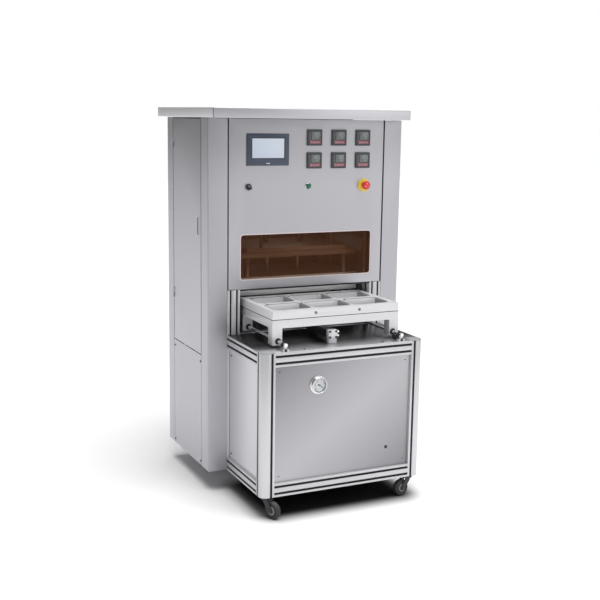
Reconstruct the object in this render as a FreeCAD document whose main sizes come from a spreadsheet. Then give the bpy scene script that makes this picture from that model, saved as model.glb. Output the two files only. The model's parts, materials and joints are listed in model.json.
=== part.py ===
import FreeCAD, Part
import os
import re
import Sketcher
from FreeCAD import Rotation, Vector

# A tray sealing machine: a sheet-metal press cabinet with a control panel, and in front of it
# a base of slotted aluminium profile that carries the sliding tray mould.
# X runs to the right, Y towards the back, Z up. Places are given from the floor, from the
# machine's centre plane and from the cabinet's front plane, which lies at y = front.

doc = FreeCAD.newDocument("TraySealer")
sheet = doc.addObject("Spreadsheet::Sheet", "Dims")

dimensions = {
    # whole machine
    "front": -132.9, "skin": 2, "gap": 3,
    "cabinet_wide": 960, "cabinet_deep": 560, "cabinet_low": 98, "cabinet_high": 1684,
    "corner_wide": 89, "corner_deep": 92, "rear_corner": 80, "side_split": 625,
    "tube": 40, "flange": 18, "door_lip": 14, "frame_inset": 22, "hinge_high": 1545, "hinge_low": 829,
    "knuckle": 3.2, "knuckle_tall": 23, "latch_back": 122, "latch_low": 1161, "latch_wide": 26,
    "latch_tall": 92, "vent_wide": 200, "vent_low": 1450, "vent_pitch": 18,
    # canopy
    "canopy_wide": 965, "canopy_front": 72, "canopy_rear": 700, "canopy_low": 1686, "canopy_tall": 43,
    # control panel
    "panel_wide": 770, "panel_low": 930, "window_wide": 654, "window_low": 974.5, "window_tall": 199.5,
    "window_round": 12, "pane": 5, "control_level": 1387, "control_out": 286, "key_out": 292,
    "device_hole": 11.25, "hmi_wide": 202, "hmi_tall": 140, "hmi_left": -302, "hmi_low": 1480,
    "screen_wide": 154, "screen_tall": 86, "meter": 72, "meter_first": 27, "meter_pitch": 123.5,
    "meter_low": 1466, "meter_rise": 102, "bezel": 6, "lever_wide": 7, "lever_tall": 23, "lever_out": 19.5,
    # base
    "base_wide": 780, "base_deep": 400, "base_low": 95, "base_high": 725, "thin": 30, "wide": 60,
    "post_round": 30, "slot": 8, "slot_neck": 2.2, "slot_inner": 16, "slot_depth": 9, "strip": 3.6,
    "table": 3, "recess": 12, "gauge_out": 123, "gauge_level": 568, "gauge_flange": 40,
    "gauge_body": 32, "grommet_out": 219, "grommet_level": 247,
    # slide and carriage
    "shaft": 8, "shaft_out": 281, "shaft_level": 755, "shaft_start": -394, "shaft_end": 472,
    "carriage_wide": 616, "carriage_front": -312, "carriage_deep": 370, "leg_low": 738,
    "bar_low": 810, "mould_low": 847, "mould_high": 884, "leg_wide": 46, "leg_deep": 45,
    "rear_leg": 326, "bush": 14, "bore": 8.03,
    "cavity_wide": 168, "cavity_long": 128, "cavity_pitch": 192, "row_pitch": 170,
    "cavity_round": 24, "ledge": 7, "ledge_deep": 2,
    "cylinder_left": -46, "cylinder_wide": 42, "cylinder_low": 749, "cylinder_tall": 38,
    "cylinder_start": -300, "cylinder_end": 480, "cap_long": 25,
    # press
    "upper_front": 90, "upper_low": 885, "upper_high": 968, "upper_wall": 30, "roof": 20,
    "slab_low": 1057, "slab_mid": 1080, "slab_high": 1099, "slab_wide": 592, "step_wide": 512,
    "head_low": 1290, "head_high": 1315, "tie": 15, "tie_out": 342, "tie_front": 72, "tie_back": 478,
    "strut_out": 250, "guide_out": 180, "press_out": 90, "press_row": 275, "bed_low": 700,
    "bed_high": 728,
    # film
    "film_wide": 360, "film_out": 405, "film_level": 1080, "supply_round": 57, "waste_round": 40,
    "core_round": 19, "spindle": 10,
    # casters and feet
    "caster_out": 350, "caster_back": -362, "caster_trail": 38, "wheel_round": 37.5,
    "wheel_wide": 26, "axle": 5, "foot_out": 250, "foot_round": 28,
}
for row, (word, number) in enumerate(dimensions.items(), 1):
    sheet.set("A%d" % row, word)
    sheet.set("B%d" % row, str(number))
    sheet.setAlias("B%d" % row, word)
doc.recompute()

pieces = []


def formula(text):
    """A size written with the sheet's words, as an expression of the document."""
    def cell(found):
        word = found.group(0)
        return "Dims." + word if word in dimensions else word
    return re.sub(r"[a-z][a-z_]*", cell, str(text))


def value(text):
    return float(sheet.evalExpression(formula(text)))


def place(item, at, turn=None):
    """Bind a piece's place to the sheet; the y given here counts from the cabinet's front."""
    if turn:
        item.Placement = FreeCAD.Placement(Vector(0, 0, 0), turn)
    across, along, up = at
    item.setExpression(".Placement.Base.x", formula(across))
    item.setExpression(".Placement.Base.y", formula("front + (%s)" % along))
    item.setExpression(".Placement.Base.z", formula(up))
    return item


def keep(item, name):
    item.Label = name
    pieces.append(item)
    return item


def box(size, at):
    item = doc.addObject("Part::Box", "Block")
    for side, text in zip(("Length", "Width", "Height"), size):
        item.setExpression(side, formula(text))
    return place(item, at)


turns = {
    "x": Rotation(Vector(0, 1, 0), 90),
    "y": Rotation(Vector(1, 0, 0), -90),
    "z": Rotation(),
}


def rod(radius, length, at, along="z"):
    item = doc.addObject("Part::Cylinder", "Round")
    item.setExpression("Radius", formula(radius))
    item.setExpression("Height", formula(length))
    return place(item, at, turns[along])


def join(items):
    item = doc.addObject("Part::MultiFuse", "Joined")
    item.Shapes = items
    item.Refine = True
    return item


def cut(base, tools):
    item = doc.addObject("Part::Cut", "Trimmed")
    item.Base = base
    item.Tool = tools[0] if len(tools) == 1 else join(tools)
    return item


def group(items):
    """Several separate solids that share one name, such as a set of screws."""
    item = doc.addObject("Part::Compound", "Set")
    item.Links = items
    return item


def round_edges(base, radius, direction):
    """Round the edges of a block that run along one direction."""
    doc.recompute()
    item = doc.addObject("Part::Fillet", "Rounded")
    item.Base = base
    size = value(radius)
    edges = []
    for number, edge in enumerate(base.Shape.Edges, 1):
        line = edge.Vertexes[-1].Point - edge.Vertexes[0].Point
        if line.Length > 0 and abs(line.normalize().dot(direction)) > 0.999:
            edges.append((number, size, size))
    item.Edges = edges
    return item


def origin_plane(body, role):
    return next(plane for plane in body.Origin.OriginFeatures if plane.Role == role)


def sketch_outline(body, role, points):
    """A closed outline of straight lines with every corner's place bound to the sheet."""
    sketch = body.newObject("Sketcher::SketchObject", "Outline")
    sketch.AttachmentSupport = [(origin_plane(body, role), "")]
    sketch.MapMode = "FlatFace"
    corners = [Vector(value(first), value(second), 0) for first, second in points]
    count = len(corners)
    for number in range(count):
        start, end = corners[number], corners[(number + 1) % count]
        sketch.addGeometry(Part.LineSegment(start, end), False)
    for number in range(count):
        after = (number + 1) % count
        sketch.addConstraint(Sketcher.Constraint("Coincident", number, 2, after, 1))
    for number, (first, second) in enumerate(points):
        for kind, axis, text in (("DistanceX", -2, first), ("DistanceY", -1, second)):
            size = value(text)
            if abs(size) < 1e-9:
                sketch.addConstraint(Sketcher.Constraint("PointOnObject", number, 1, axis))
            else:
                index = sketch.addConstraint(Sketcher.Constraint(kind, -1, 1, number, 1, size))
                sketch.setExpression("Constraints[%d]" % index, formula(text))
    return sketch


def padded(name, role, points, length):
    """A body made by pushing a flat outline through a length."""
    body = doc.addObject("PartDesign::Body", name)
    sketch = sketch_outline(body, role, points)
    pad = body.newObject("PartDesign::Pad", "Pad")
    pad.Profile = sketch
    pad.setExpression("Length", formula(length))
    sketch.Visibility = False
    return body


def turned(name, points):
    """A body of revolution: the outline gives radius and height, and the axis is the body's Z."""
    body = doc.addObject("PartDesign::Body", name)
    sketch = sketch_outline(body, "XZ_Plane", points)
    spin = body.newObject("PartDesign::Revolution", "Revolution")
    spin.Profile = sketch
    spin.ReferenceAxis = (sketch, ["V_Axis"])
    spin.Angle = 360
    return body


out_of_panel = Rotation(Vector(1, 0, 0), 90)     # a body's Z turned to point out of the front
across_left = Rotation(Vector(0, 1, 0), -90)


# ---------------------------------------------------------------- cabinet


def cabinet_frame():
    """Welded square tube: four uprights, rings at four levels and a rail for the film reels."""
    tall = "cabinet_high - cabinet_low - 4"
    deep = "cabinet_deep - skin - 34"
    outer = "cabinet_wide / 2 - frame_inset"
    front_row, back_row = "34", "cabinet_deep - skin - tube"
    bottom, top = "cabinet_low + 2", "cabinet_high - 2 - tube"
    bed, head = "bed_low - tube", "head_low - tube"
    tubes = []
    for left in ("-(%s)" % outer, "%s - tube" % outer):
        for start in (front_row, back_row):
            tubes.append(box(("tube", "tube", tall), (left, start, bottom)))
        for level in (bottom, bed, "film_level + 80", head, top):
            tubes.append(box(("tube", deep, "tube"), (left, front_row, level)))
    crossing = ((front_row, bottom), (back_row, bottom), ("press_row - 120", bed), (back_row, bed),
                ("press_row - 150", head), (back_row, head), (front_row, top), (back_row, top))
    for start, level in crossing:
        tubes.append(box(("2 * (%s)" % outer, "tube", "tube"), ("-(%s)" % outer, start, level)))
    keep(join(tubes), "cabinet_frame")


def column_panels():
    """Front corners and rear corners: each an upright folded sheet with a front and a side."""
    tall = "cabinet_high - cabinet_low"
    sheets = []
    for side in (-1, 1):
        left = "-cabinet_wide / 2" if side < 0 else "cabinet_wide / 2 - corner_wide"
        edge = "-cabinet_wide / 2" if side < 0 else "cabinet_wide / 2 - skin"
        lip = "-cabinet_wide / 2 + corner_wide - skin" if side < 0 else "cabinet_wide / 2 - corner_wide"
        back = "-cabinet_wide / 2" if side < 0 else "cabinet_wide / 2 - rear_corner"
        sheets.append(join([
            box(("corner_wide", "skin", tall), (left, "0", "cabinet_low")),
            box(("skin", "corner_deep", tall), (edge, "0", "cabinet_low")),
            box(("skin", "flange", tall), (lip, "0", "cabinet_low")),
        ]))
        sheets.append(join([
            box(("rear_corner", "skin", tall), (back, "cabinet_deep - skin", "cabinet_low")),
            box(("skin", "rear_corner", tall), (edge, "cabinet_deep - rear_corner", "cabinet_low")),
        ]))
    keep(group(sheets), "column_panels")


def lower_side_panels():
    sheets = []
    for left in ("-cabinet_wide / 2", "cabinet_wide / 2 - skin"):
        size = ("skin", "cabinet_deep - corner_deep - rear_corner - 2 * gap",
                "side_split - cabinet_low - gap")
        sheets.append(box(size, (left, "corner_deep + gap", "cabinet_low")))
    keep(group(sheets), "lower_side_panels")


def rear_panel():
    wide = "cabinet_wide - 2 * rear_corner - 2 * gap"
    plate = box((wide, "skin", "cabinet_high - cabinet_low"),
                ("-cabinet_wide / 2 + rear_corner + gap", "cabinet_deep - skin", "cabinet_low"))
    vents = []
    for row in range(8):
        for left in (-240, 40):
            at = (left, "cabinet_deep - 3 * skin", "vent_low + %d * vent_pitch" % row)
            vents.append(box(("vent_wide", "6 * skin", 7), at))
    keep(cut(plate, vents), "rear_panel")


def cabinet_floor():
    plate = box(("cabinet_wide - 2 * skin - 2", "cabinet_deep - 36 - 2 * skin", "3"),
                ("-cabinet_wide / 2 + skin + 1", "skin + 33", "cabinet_low - 1"))
    keep(plate, "cabinet_floor")


def canopy():
    deep = "canopy_rear + canopy_front"
    left = "-canopy_wide / 2"
    shell = box(("canopy_wide", deep, "canopy_tall"), (left, "-canopy_front", "canopy_low"))
    inner = box(("canopy_wide - 2 * skin", "%s - 2 * skin" % deep, "canopy_tall - 2 * skin"),
                ("%s + skin" % left, "-canopy_front + skin", "canopy_low + skin"))
    opening = box(("cabinet_wide - 60", "cabinet_deep - 60", "4 * skin"),
                  ("-cabinet_wide / 2 + 30", 30, "canopy_low - 2 * skin"))
    keep(cut(shell, [inner, opening]), "canopy")


def levelling_feet():
    feet = []
    for out in ("-foot_out", "foot_out"):
        for back in (150, 500):
            foot = turned("Foot", [(0, 0), ("foot_round", 0), ("foot_round", 10), (12, 20), (8, 22),
                                   (8, "cabinet_low - 1"), (0, "cabinet_low - 1")])
            feet.append(place(foot, (out, back, 0)))
    keep(group(feet), "levelling_feet")


def hinge_half(side, level, leaf_wide, leaf_back):
    """Half of a door hinge: a knuckle on the pin's line and a flat leaf on the sheet."""
    pin = ("%d * (cabinet_wide / 2 + knuckle + 0.2)" % side, "cabinet_deep - rear_corner - gap + 1.5", level)
    leaf_x = "-cabinet_wide / 2 - skin" if side < 0 else "cabinet_wide / 2"
    return [rod("knuckle", "knuckle_tall", pin),
            box(("skin", leaf_wide, "knuckle_tall"), (leaf_x, leaf_back, level))]


def side_doors():
    """Tall doors on both sides, folded round the edge and hung on the rear corners."""
    tall = "cabinet_high - side_split - gap"
    deep = "cabinet_deep - corner_deep - rear_corner - 2 * gap"
    front_edge = "corner_deep + gap"
    rear_edge = "cabinet_deep - rear_corner - gap"
    leaves = []
    for side, name in ((-1, "left_side_door"), (1, "right_side_door")):
        face = "-cabinet_wide / 2" if side < 0 else "cabinet_wide / 2 - skin"
        inside = "-cabinet_wide / 2" if side < 0 else "cabinet_wide / 2 - door_lip"
        folded = [
            box(("skin", deep, tall), (face, front_edge, "side_split")),
            box(("door_lip", "skin", tall), (inside, front_edge, "side_split")),
            box(("door_lip", "skin", tall), (inside, "%s - skin" % rear_edge, "side_split")),
            box(("door_lip", deep, "skin"), (inside, front_edge, "cabinet_high - gap - skin")),
            box(("door_lip", deep, "skin"), (inside, front_edge, "side_split")),
        ]
        lock_hole = box(("4 * skin", "latch_wide", "latch_tall"),
                        ("%s - skin" % face, "latch_back", "latch_low"))
        latch_at = "-cabinet_wide / 2 - 1" if side < 0 else "cabinet_wide / 2 - 13"
        latch = box((14, "latch_wide - 0.4", "latch_tall - 0.4"),
                    (latch_at, "latch_back + 0.2", "latch_low + 0.2"))
        groove_at = "-cabinet_wide / 2 - 2" if side < 0 else "cabinet_wide / 2 - 3"
        groove = box((5, "latch_wide - 9", "latch_tall - 14"),
                     (groove_at, "latch_back + 4.5", "latch_low + 7"))
        hinges = []
        for level in ("hinge_high", "hinge_low"):
            hinges += hinge_half(side, level + " + knuckle_tall + 1", 16, "%s - 14" % rear_edge)
            leaves.append(join(hinge_half(side, level, 18, "cabinet_deep - rear_corner")))
        keep(join([cut(join(folded), [lock_hole]), cut(latch, [groove])] + hinges), name)
    keep(group(leaves), "door_hinge_plates")


# ---------------------------------------------------------------- control panel


def meter_places():
    return [("meter_first + %d * meter_pitch" % column, "meter_low + %d * meter_rise" % row)
            for row in range(2) for column in range(3)]


def front_control_panel():
    tall = "cabinet_high - panel_low"
    left = "-panel_wide / 2"
    plate = join([
        box(("panel_wide", "skin", tall), (left, 0, "panel_low")),
        box(("skin", "flange", tall), (left, 0, "panel_low")),
        box(("skin", "flange", tall), ("panel_wide / 2 - skin", 0, "panel_low")),
        box(("panel_wide", "flange", "skin"), (left, 0, "panel_low")),
    ])
    window = box(("window_wide", "5 * skin", "window_tall"), ("-window_wide / 2", "-skin", "window_low"))
    holes = [round_edges(window, "window_round", Vector(0, 1, 0))]
    holes.append(box(("hmi_wide - 12", "5 * skin", "hmi_tall - 12"),
                     ("hmi_left + 6", "-skin", "hmi_low + 6")))
    for across, level in meter_places():
        holes.append(box(("meter - 4", "5 * skin", "meter - 4"),
                         ("%s - meter / 2 + 2" % across, "-skin", "%s + 2" % level)))
    for across in ("-key_out", "0", "control_out"):
        holes.append(rod("device_hole", "5 * skin", (across, "-skin", "control_level"), "y"))
    keep(cut(plate, holes), "front_control_panel")


def window_pane():
    at = ("-window_wide / 2 - 20", "skin + 0.2", "window_low - 20")
    pane = box(("window_wide + 40", "pane", "window_tall + 40"), at)
    keep(round_edges(pane, "window_round", Vector(0, 1, 0)), "window_pane")


def operator_display():
    face = box(("hmi_wide", "bezel", "hmi_tall"), ("hmi_left", "-bezel", "hmi_low"))
    back = box(("hmi_wide - 14", "38", "hmi_tall - 14"), ("hmi_left + 7", -0.5, "hmi_low + 7"))
    centre = "hmi_left + hmi_wide / 2 - screen_wide / 2"
    recess = box(("screen_wide", "3", "screen_tall"), (centre, "-bezel - 1", "hmi_low + 33"))
    keep(cut(join([face, back]), [recess]), "hmi_case")
    glass = box(("screen_wide - 0.2", "1.4", "screen_tall - 0.2"),
                ("%s + 0.1" % centre, "-bezel + 0.6", "hmi_low + 33.1"))
    keep(glass, "hmi_screen")


def temperature_controllers():
    cases, faces = [], []
    for across, level in meter_places():
        left = "%s - meter / 2" % across
        face = box(("meter", "bezel + 2", "meter"), (left, "-bezel - 2", level))
        face = round_edges(face, "3", Vector(0, 1, 0))
        back = box(("meter - 5", "80", "meter - 5"), ("%s + 2.5" % left, -0.5, "%s + 2.5" % level))
        recess = box(("meter - 12", "3", "meter - 12"), ("%s + 6" % left, "-bezel - 3", "%s + 6" % level))
        cases.append(cut(join([face, back]), [recess]))
        faces.append(box(("meter - 12.2", "1.2", "meter - 12.2"),
                         ("%s + 6.1" % left, "-bezel - 1.3", "%s + 6.1" % level)))
    keep(group(cases), "temperature_controllers")
    keep(group(faces), "controller_displays")


def control_devices():
    """Key switch, start button and emergency stop: collars stay, knobs and caps move."""
    level = "control_level"
    collar = [("10.3", -24), (11, -24), (11, 0), (15, 0), (15, 3), (13.5, 4.5), ("10.3", 4.5)]
    collars = [place(turned("Collar", collar), (across, 0, level), out_of_panel)
               for across in ("-key_out", "0")]
    disc = cut(rod(30, 1.6, ("control_out", -1.7, level), "y"),
               [rod(11.2, 6, ("control_out", -4, level), "y")])
    keep(disc, "estop_legend")
    guard = turned("Guard", [(8, -26), (11, -26), (11, 1.8), (16, 1.8), (15, 8), (8, 8)])
    collars.append(place(guard, ("control_out", 0, level), out_of_panel))
    keep(group(collars), "control_collars")

    barrel = turned("Barrel", [(0, -22), (10, -22), (10, 5), (0, 5)])
    place(barrel, ("-key_out", 0, level), out_of_panel)
    lean = Rotation(Vector(0, 1, 0), -45)
    corner = lean.multVec(Vector(-value("lever_wide") / 2, 0, -value("lever_tall") / 2))
    lever = box(("lever_wide", "lever_out - 4.5", "lever_tall"), (0, 0, 0))
    at = ("-key_out + %.4f" % corner.x, "-lever_out", "%s + %.4f" % (level, corner.z))
    keep(join([barrel, place(lever, at, lean)]), "key_switch_knob")

    cap = turned("Cap", [(0, -20), (9, -20), (9, 8.5), (8, 9.5), (0, 9.5)])
    keep(place(cap, (0, 0, level), out_of_panel), "start_button_cap")

    stem = turned("Stem", [(0, -24), (7.5, -24), (7.5, 15.7), (5, 15.7), (5, 25), (0, 25)])
    keep(place(stem, ("control_out", 0, level), out_of_panel), "estop_stem")
    head = turned("Head", [(0, 25.2), (5.06, 25.2), (5.06, 16), (13, 16), (18.5, 19), (20, 23), (20, 27),
                           (17, 31), (11, 33), (0, 33)])
    keep(place(head, ("control_out", 0, level), out_of_panel), "estop_mushroom")


# ---------------------------------------------------------------- base of slotted profile


def slotted_rail(axes, length, at):
    """A 30 x 60 profile. axes names the directions of its length, its thin and its wide side."""
    long_way, thin_way, wide_way = axes
    order = "xyz"
    where = dict(zip(order, at))

    def block(long_size, thin_start, thin_size, wide_start, wide_size):
        size = {long_way: long_size, thin_way: thin_size, wide_way: wide_size}
        spot = dict(where)
        spot[thin_way] = "%s + %s" % (where[thin_way], thin_start)
        spot[wide_way] = "%s + %s" % (where[wide_way], wide_start)
        return box([size[axis] for axis in order], [spot[axis] for axis in order])

    solid = block(length, 0, "thin", 0, "wide")
    cutters = []
    for centre in (15, 45):
        for neck, inside in ((0, "slot_neck"), ("thin - slot_neck", "thin - slot_depth")):
            cutters.append(block(length, neck, "slot_neck", "%d - slot / 2" % centre, "slot"))
            cutters.append(block(length, inside, "slot_depth - slot_neck",
                                 "%d - slot_inner / 2" % centre, "slot_inner"))
    return cut(solid, cutters)


def base_frame():
    left, right = "-base_wide / 2", "base_wide / 2 - thin"
    across = "base_wide - 2 * wide"
    side = "base_deep - wide"
    rails, covers = [], []
    for level in ("base_low", "base_high - wide"):
        rails.append(slotted_rail("xyz", across, ("-base_wide / 2 + wide", "-base_deep", level)))
        rails.append(slotted_rail("xyz", across, ("-base_wide / 2 + wide", 0, level)))
        for edge in (left, right):
            rails.append(slotted_rail("yxz", side, (edge, "-base_deep + wide", level)))
        for centre in (15, 45):
            strip = "%s + %d - slot / 2 + 0.1" % (level, centre)
            covers.append(box((across, "strip", "slot - 0.2"),
                              ("-base_wide / 2 + wide", "-base_deep + 0.3", strip)))
            for edge in ("-base_wide / 2 + 0.3", "base_wide / 2 - strip - 0.3"):
                covers.append(box(("strip", side, "slot - 0.2"), (edge, "-base_deep + wide", strip)))
    keep(group(rails), "base_rails")

    uprights = []
    tall = "panel_low - 1 - base_low"
    for edge in ("-base_wide / 2", "base_wide / 2 - wide"):
        uprights.append(slotted_rail("zyx", tall, (edge, 0, "base_low")))
        for centre in (15, 45):
            covers.append(box(("slot - 0.2", "strip", tall),
                              ("%s + %d - slot / 2 + 0.1" % (edge, centre), 0.3, "base_low")))
    keep(group(uprights), "upright_posts")

    for edge in ("-base_wide / 2 + wide - 15", "base_wide / 2 - wide + 15"):
        covers.append(box(("slot - 0.2", "strip", "base_high - base_low"),
                          ("%s - slot / 2 + 0.1" % edge, "-base_deep + 0.3", "base_low")))
    for edge in ("-base_wide / 2 + 0.3", "base_wide / 2 - strip - 0.3"):
        covers.append(box(("strip", "slot - 0.2", "base_high - base_low"),
                          (edge, "-base_deep + wide - 15 - slot / 2 + 0.1", "base_low")))
    keep(group(covers), "slot_covers")


def corner_profile(side, length, name):
    """A 60 x 60 corner profile with a quarter-round outside edge and a slot in each outer face."""
    body = padded(name, "XY_Plane", [(0, 0), ("wide", 0), ("wide", "wide"), (0, "wide")], length)
    doc.recompute()
    corner_x = 0 if side < 0 else value("wide")
    pad = body.Tip
    for number, edge in enumerate(pad.Shape.Edges, 1):
        first, last = edge.Vertexes[0].Point, edge.Vertexes[-1].Point
        upright = abs(first.z - last.z) > 1
        if upright and abs(first.x - corner_x) < 0.1 and abs(first.y) < 0.1:
            outer = "Edge%d" % number
    fillet = body.newObject("PartDesign::Fillet", "Round")
    fillet.Base = (pad, [outer])
    fillet.setExpression("Radius", formula("post_round - 0.01"))
    return body


def corner_posts():
    posts, caps = [], []
    tall = "base_high - base_low"
    for side, edge in ((-1, "-base_wide / 2"), (1, "base_wide / 2 - wide")):
        solid = corner_profile(side, tall, "CornerPost")
        place(solid, (edge, "-base_deep", "base_low"))
        slot_x = "%s + %s" % (edge, "wide - 15" if side < 0 else "15")
        face_x = edge if side < 0 else "base_wide / 2 - slot_depth"
        neck_x = edge if side < 0 else "base_wide / 2 - slot_neck"
        inner_x = "%s + slot_neck" % edge if side < 0 else face_x
        cutters = [
            box(("slot", "slot_neck", tall), ("%s - slot / 2" % slot_x, "-base_deep", "base_low")),
            box(("slot_inner", "slot_depth - slot_neck", tall),
                ("%s - slot_inner / 2" % slot_x, "-base_deep + slot_neck", "base_low")),
            box(("slot_neck", "slot", tall), (neck_x, "-base_deep + wide - 15 - slot / 2", "base_low")),
            box(("slot_depth - slot_neck", "slot_inner", tall),
                (inner_x, "-base_deep + wide - 15 - slot_inner / 2", "base_low")),
        ]
        posts.append(cut(solid, cutters))
        cap = corner_profile(side, "table", "PostCap")
        caps.append(place(cap, (edge, "-base_deep", "base_high")))
    keep(group(posts), "corner_posts")
    plug = turned("Plug", [(0, 0), (3.2, 0), (3.2, 3), (6, 3), (5, 5), (0, 5)])
    caps.append(place(plug, ("grommet_out", "-base_deep + recess + 3", "grommet_level"), out_of_panel))
    keep(group(caps), "plastic_caps")


def base_panels():
    tall = "base_high - base_low - 2 * wide"
    face = "-base_deep + recess"
    plate = box(("base_wide - 2 * wide", "3", tall), ("-base_wide / 2 + wide", face, "base_low + wide"))
    holes = [
        rod("gauge_body + 0.5", 12, ("-gauge_out", "%s - 4" % face, "gauge_level"), "y"),
        rod(3.4, 12, ("grommet_out", "%s - 4" % face, "grommet_level"), "y"),
    ]
    keep(cut(plate, holes), "base_front_panel")
    sides = []
    for edge in ("-base_wide / 2 + recess", "base_wide / 2 - recess - 3"):
        sides.append(box(("3", "base_deep - wide", tall), (edge, "-base_deep + wide", "base_low + wide")))
    keep(group(sides), "base_side_panels")


def table_plate():
    plate = box(("base_wide - 4", "base_deep - 2", "table"),
                ("-base_wide / 2 + 2", "-base_deep + 1", "base_high"))
    notches = []
    for edge in ("-base_wide / 2 - 1", "base_wide / 2 - wide"):
        notches.append(box(("wide + 1", "wide + 1", "3 * table"),
                           (edge, "-base_deep - 1", "base_high - table")))
    keep(cut(plate, notches), "table_plate")


def screw(at, turn=None):
    head = turned("Screw", [(0, -6), (2, -6), (2, 0), (4.75, 0), (4.2, 1.9), (2.6, 2.7), (0, 2.7)])
    return place(head, at, turn)


def panel_screws():
    """Button-head screws of the table, the base's panels and the cabinet's lower panels."""
    screws = []
    for side in (-1, 1):
        for out, back in ((190, -381), (366, -270), (366, -100)):
            screws.append(screw((side * out, back, "base_high + table")))
        for level in ("base_low + wide + 24", "base_high - wide - 28"):
            screws.append(screw((side * 306, "-base_deep + recess", level), out_of_panel))
            face = "%d * (base_wide / 2 - recess)" % side
            turn = across_left if side < 0 else turns["x"]
            for back in (-320, -22):
                screws.append(screw((face, back, level), turn))
        for back in (104, 466):
            for level in (118, 592):
                turn = across_left if side < 0 else turns["x"]
                screws.append(screw(("%d * cabinet_wide / 2" % side, back, level), turn))
    keep(group(screws), "panel_screws")


def vacuum_gauge():
    at = ("-gauge_out", "-base_deep + recess", "gauge_level")
    case = turned("GaugeCase", [
        (6, -34), (6, -30), ("gauge_body", -30), ("gauge_body", 0), ("gauge_flange", 0), ("gauge_flange", 3),
        (36, 3), (36, 13), (34, 15), (31.5, 15), (31.5, -26), (4, -26), (4, -34)])
    keep(place(case, at, out_of_panel), "gauge_case")
    dial = turned("Dial", [(0.9, 6), (31.3, 6), (31.3, 7), (0.9, 7)])
    keep(place(dial, at, out_of_panel), "gauge_dial")
    lens = turned("Lens", [(0, 12.4), (31.4, 12.4), (31.4, 14.4), (0, 14.4)])
    keep(place(lens, at, out_of_panel), "gauge_lens")
    hub = turned("Hub", [(0, 4), (0.8, 4), (0.8, 8), (3, 8), (3, 10.4), (0, 10.4)])
    place(hub, at, out_of_panel)
    pointer = padded("Pointer", "XY_Plane", [(-1.3, -8), (1.3, -8), (0.5, 24), (-0.5, 24)], 0.8)
    lean = out_of_panel * Rotation(Vector(0, 0, 1), -125)
    place(pointer, ("-gauge_out", "-base_deep + recess - 8.6", "gauge_level"), lean)
    keep(join([hub, pointer]), "gauge_needle")


# ---------------------------------------------------------------- slide and carriage


def slide():
    shafts, supports, bumpers = [], [], []
    for side in (-1, 1):
        across = "%d * shaft_out" % side
        shafts.append(rod("shaft", "shaft_end - shaft_start", (across, "shaft_start", "shaft_level"), "y"))
        for start in ("shaft_start + 1", "shaft_end - 19"):
            foot = box((28, 18, 8), ("%s - 14" % across, start, "base_high + table"))
            neck = box((14, 10, "shaft_level - base_high - table - 7"),
                       ("%s - 7" % across, "%s + 4" % start, "base_high + table + 7"))
            seat = rod("shaft", 40, (across, "%s - 10" % start, "shaft_level"), "y")
            supports.append(cut(join([foot, neck]), [seat]))
        for start in ("shaft_start + 19.2", "shaft_end - 25"):
            ring = rod(12, 5.8, (across, start, "shaft_level"), "y")
            hole = rod("shaft", 40, (across, "%s - 10" % start, "shaft_level"), "y")
            bumpers.append(cut(ring, [hole]))
    bumpers.append(rod(8.5, 54, ("shaft_out", "shaft_start + 19", "base_high + table + 8.5"), "y"))
    keep(group(shafts), "slide_shafts")
    keep(group(supports), "shaft_supports")
    keep(group(bumpers), "shaft_bumpers")


def carriage_cylinder():
    """A rodless cylinder along the table: barrel, two end caps with feet and four hose fittings."""
    left, low = "cylinder_left", "cylinder_low"
    barrel = box(("cylinder_wide - 4", "cylinder_end - cylinder_start", "cylinder_tall - 4"),
                 ("cylinder_left + 2", "cylinder_start", "cylinder_low + 2"))
    parts = [barrel]
    for start in ("cylinder_start - cap_long", "cylinder_end"):
        parts.append(box(("cylinder_wide", "cap_long", "cylinder_tall"), (left, start, low)))
        parts.append(box(("cylinder_wide - 4", "cap_long - 6", "cylinder_low - base_high - table + 1"),
                         ("cylinder_left + 2", "%s + 3" % start, "base_high + table")))
        for level in ("cylinder_low + 11", "cylinder_low + 27"):
            across = "cylinder_left + cylinder_wide - 1"
            parts.append(rod(5, 13, (across, "%s + cap_long / 2" % start, level), "x"))
    keep(join(parts), "carriage_cylinder")


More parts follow.
